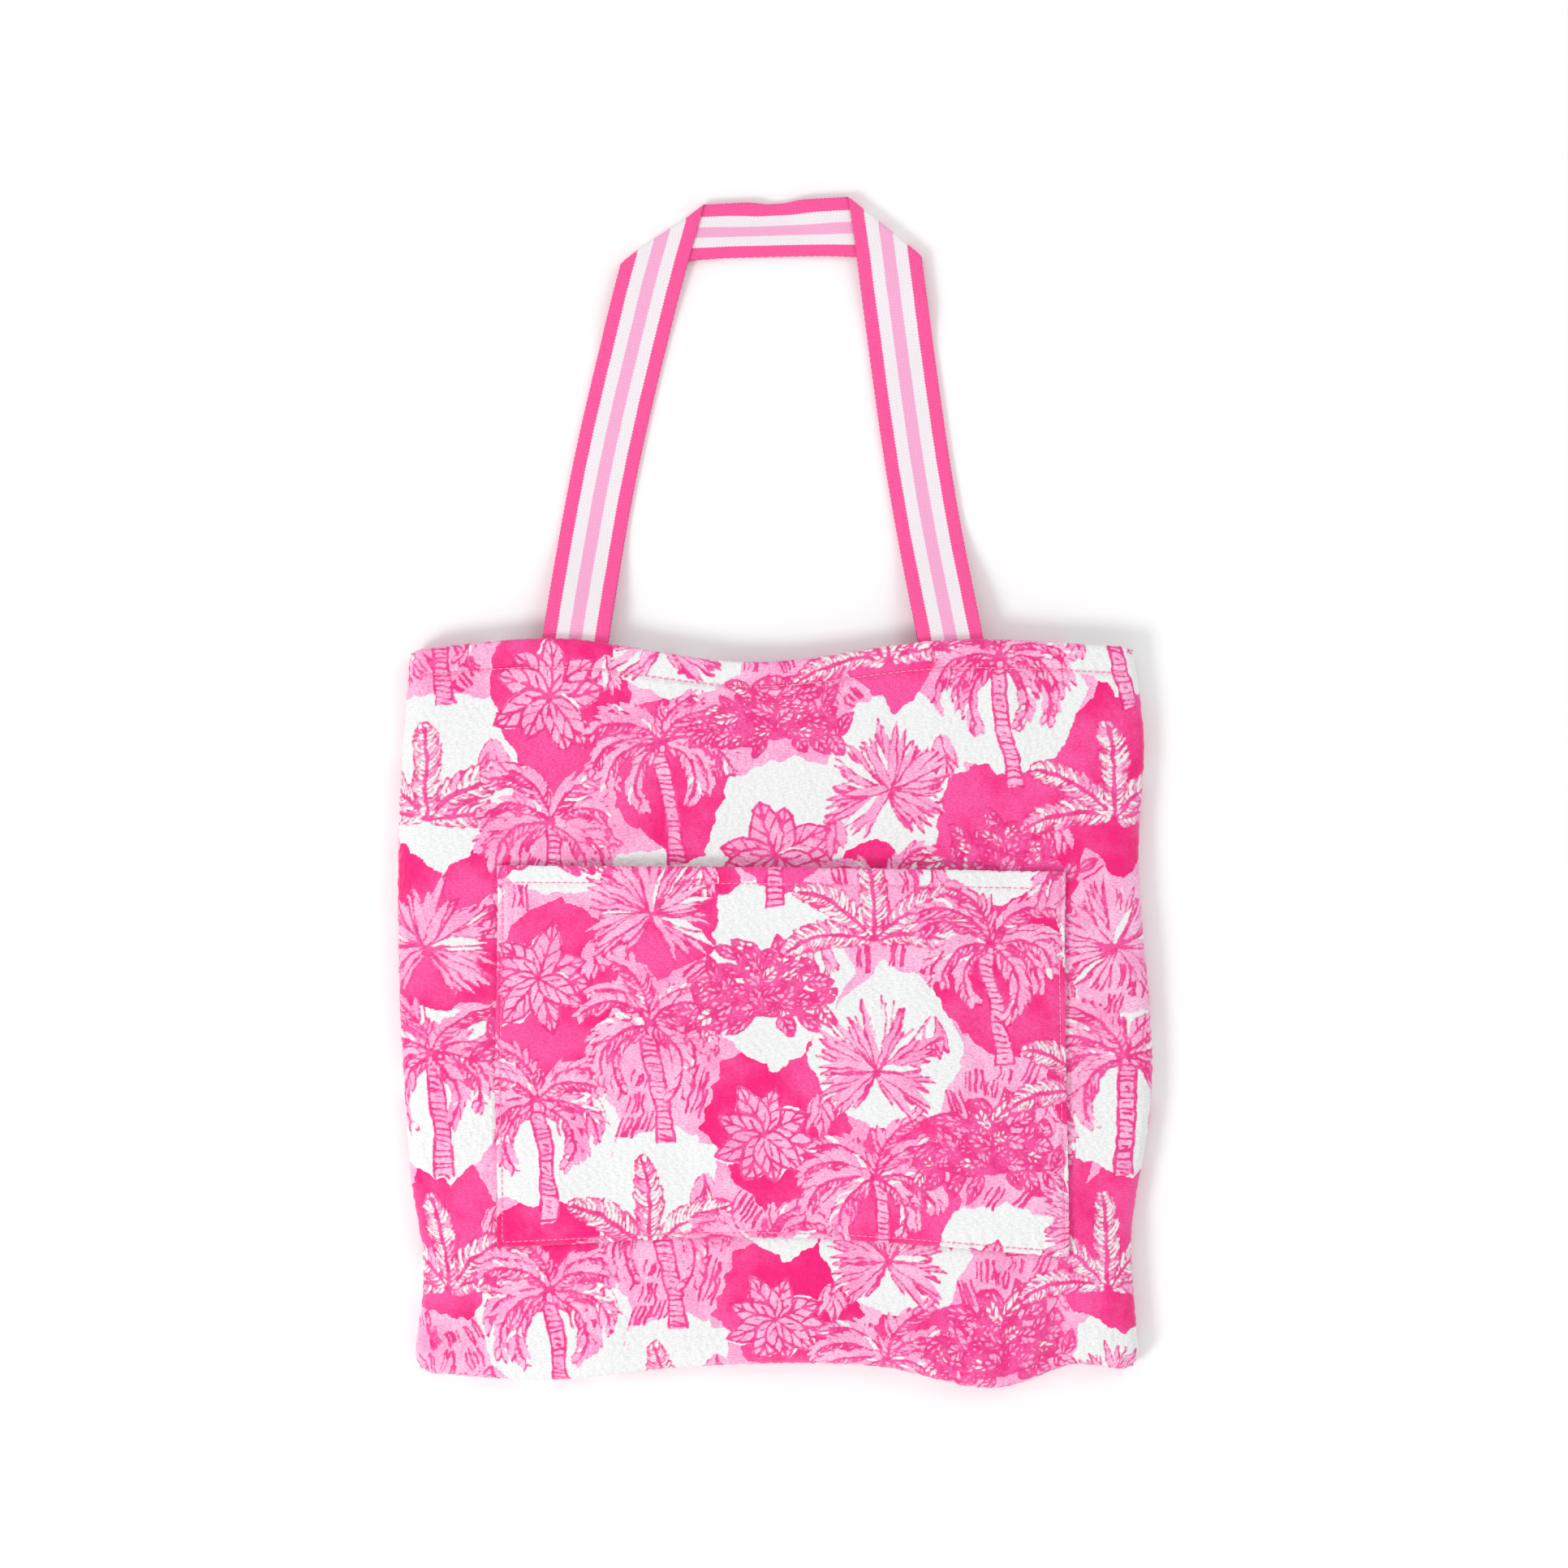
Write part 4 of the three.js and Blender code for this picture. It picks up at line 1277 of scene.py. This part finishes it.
share = np.linspace(POCKET_STITCH / POCKET_W, 1 - POCKET_STITCH / POCKET_W, 500)
hem_level = np.full_like(share, 1 - POCKET_HEM_W / POCKET_H)
hem_thread = pocket_face(share, hem_level) + UP * 0.12
pocket_hem = stitch_line("pocket_hem_stitches", [hem_thread], THREAD, 2.7, 0.9, 0.33)
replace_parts(pocket_hem, "pocket_hem_thread")

down = np.linspace(0.985, POCKET_STITCH / POCKET_H, 400)
left_u, right_u = np.full_like(down, share[0]), np.full_like(down, share[-1])
u_line = np.vstack([
    pocket_face(left_u, down),
    pocket_face(share, np.full_like(share, POCKET_STITCH / POCKET_H)),
    pocket_face(right_u, down[::-1]),
])
pocket_seam = stitch_line("pocket_stitches", [u_line + UP * 0.15], THREAD, 2.7, 0.8, 0.36)
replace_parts(pocket_seam, "pocket_seam_thread")

for half in ("front", "back"):
    for side in ("left", "right"):
        node = f"{half}_handle_{side}_tack"
        tack = bar_tack(f"{half}_{side}_tack", node, THREAD)
        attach(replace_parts(tack, node), half)

side_pieces = []
for side, fixed, edge in (("left", -HALF_W, LEFT_EDGE), ("right", HALF_W, RIGHT_EDGE)):
    span = (BOTTOM_Y + 13, MOUTH_Y - 6)
    strip, top, under = seam_allowance(f"{side}_allowance", False, fixed, edge, span, 9.0, TERRY, 41)
    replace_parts(strip, f"{side}_side_seam")
    loops = overlock(f"{side}_overlock", top, under, THREAD)
    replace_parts(loops, f"{side}_side_seam_thread")
    side_pieces += [strip, loops]
span = (-HALF_W + 13, HALF_W - 13)
strip, top, under = seam_allowance("bottom_allowance", True, BOTTOM_Y, BOTTOM_EDGE, span, 9.0, TERRY, 43)
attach(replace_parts(strip, "bottom_seam"), "back")
loops = overlock("bottom_overlock", top, under, THREAD)
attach(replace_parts(loops, "bottom_seam_thread"), "back")


# ---------------------------------------------------------------- placements baked into the cloth meshes

def bend_between(piece):
    """Bakes a piece of cloth's placement into its mesh."""
    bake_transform(piece)


def places(piece):
    found = np.zeros(len(piece.data.vertices) * 3, np.float32)
    piece.data.vertices.foreach_get("co", found)
    return found.reshape(-1, 3) / MM


spot = places(front)
bend_between(front)
spot = places(front_hem)
bend_between(front_hem)
spot = places(back)
bend_between(back)
spot = places(back_hem)
bend_between(back_hem)
for piece in side_pieces:
    bend_between(piece)

bend_between(pocket)
for piece in (pocket_hem, pocket_seam):
    spot = places(piece)
    bend_between(piece)

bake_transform(front_strap)
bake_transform(back_strap)


# ---------------------------------------------------------------- floor and light

def make_floor():
    reach, level = 4000.0, -0.25
    corners = [(-reach, -reach, level), (reach, -reach, level), (reach, reach, level), (-reach, reach, level)]
    look = Look("floor", 0.9, 0.05)
    paper = look.mix(look.noise(look.tree.nodes.new("ShaderNodeTexCoord").outputs["Object"], 60, 2.0),
                     srgb(251, 251, 251), srgb(249, 249, 249))
    floor = mesh_piece("floor", np.array(corners), [(np.array([[0, 1, 2, 3]]), 0)], [look.finish(paper)])


def area_light(name, place, aim, size, watts):
    data = bpy.data.lights.new(name, "AREA")
    data.shape = "DISK"
    data.size = size
    data.energy = watts
    light = bpy.data.objects.new(name, data)
    light.location = place
    direction = np.array(aim) - np.array(place)
    flat = math.hypot(direction[0], direction[1])
    spin = math.atan2(direction[1], direction[0]) - math.pi / 2
    light.rotation_euler = (math.atan2(flat, -direction[2]), 0, spin)
    bpy.context.scene.collection.objects.link(light)


WORLD_STRENGTH, KEY_WATTS, FILL_WATTS = 0.77, 32, 12
LIGHT_AIM = (0, 0.1, 0)


def make_light():
    world = bpy.data.worlds.new("studio")
    world.use_nodes = True
    world.node_tree.nodes["Background"].inputs["Color"].default_value = (1, 1, 1, 1)
    world.node_tree.nodes["Background"].inputs["Strength"].default_value = WORLD_STRENGTH
    bpy.context.scene.world = world
    bpy.context.scene.view_settings.view_transform = "Standard"
    area_light("key", (-1.7, -1.1, 1.9), LIGHT_AIM, 0.9, KEY_WATTS)
    area_light("fill", (1.9, 1.6, 2.2), LIGHT_AIM, 1.6, FILL_WATTS)


make_floor()
make_light()
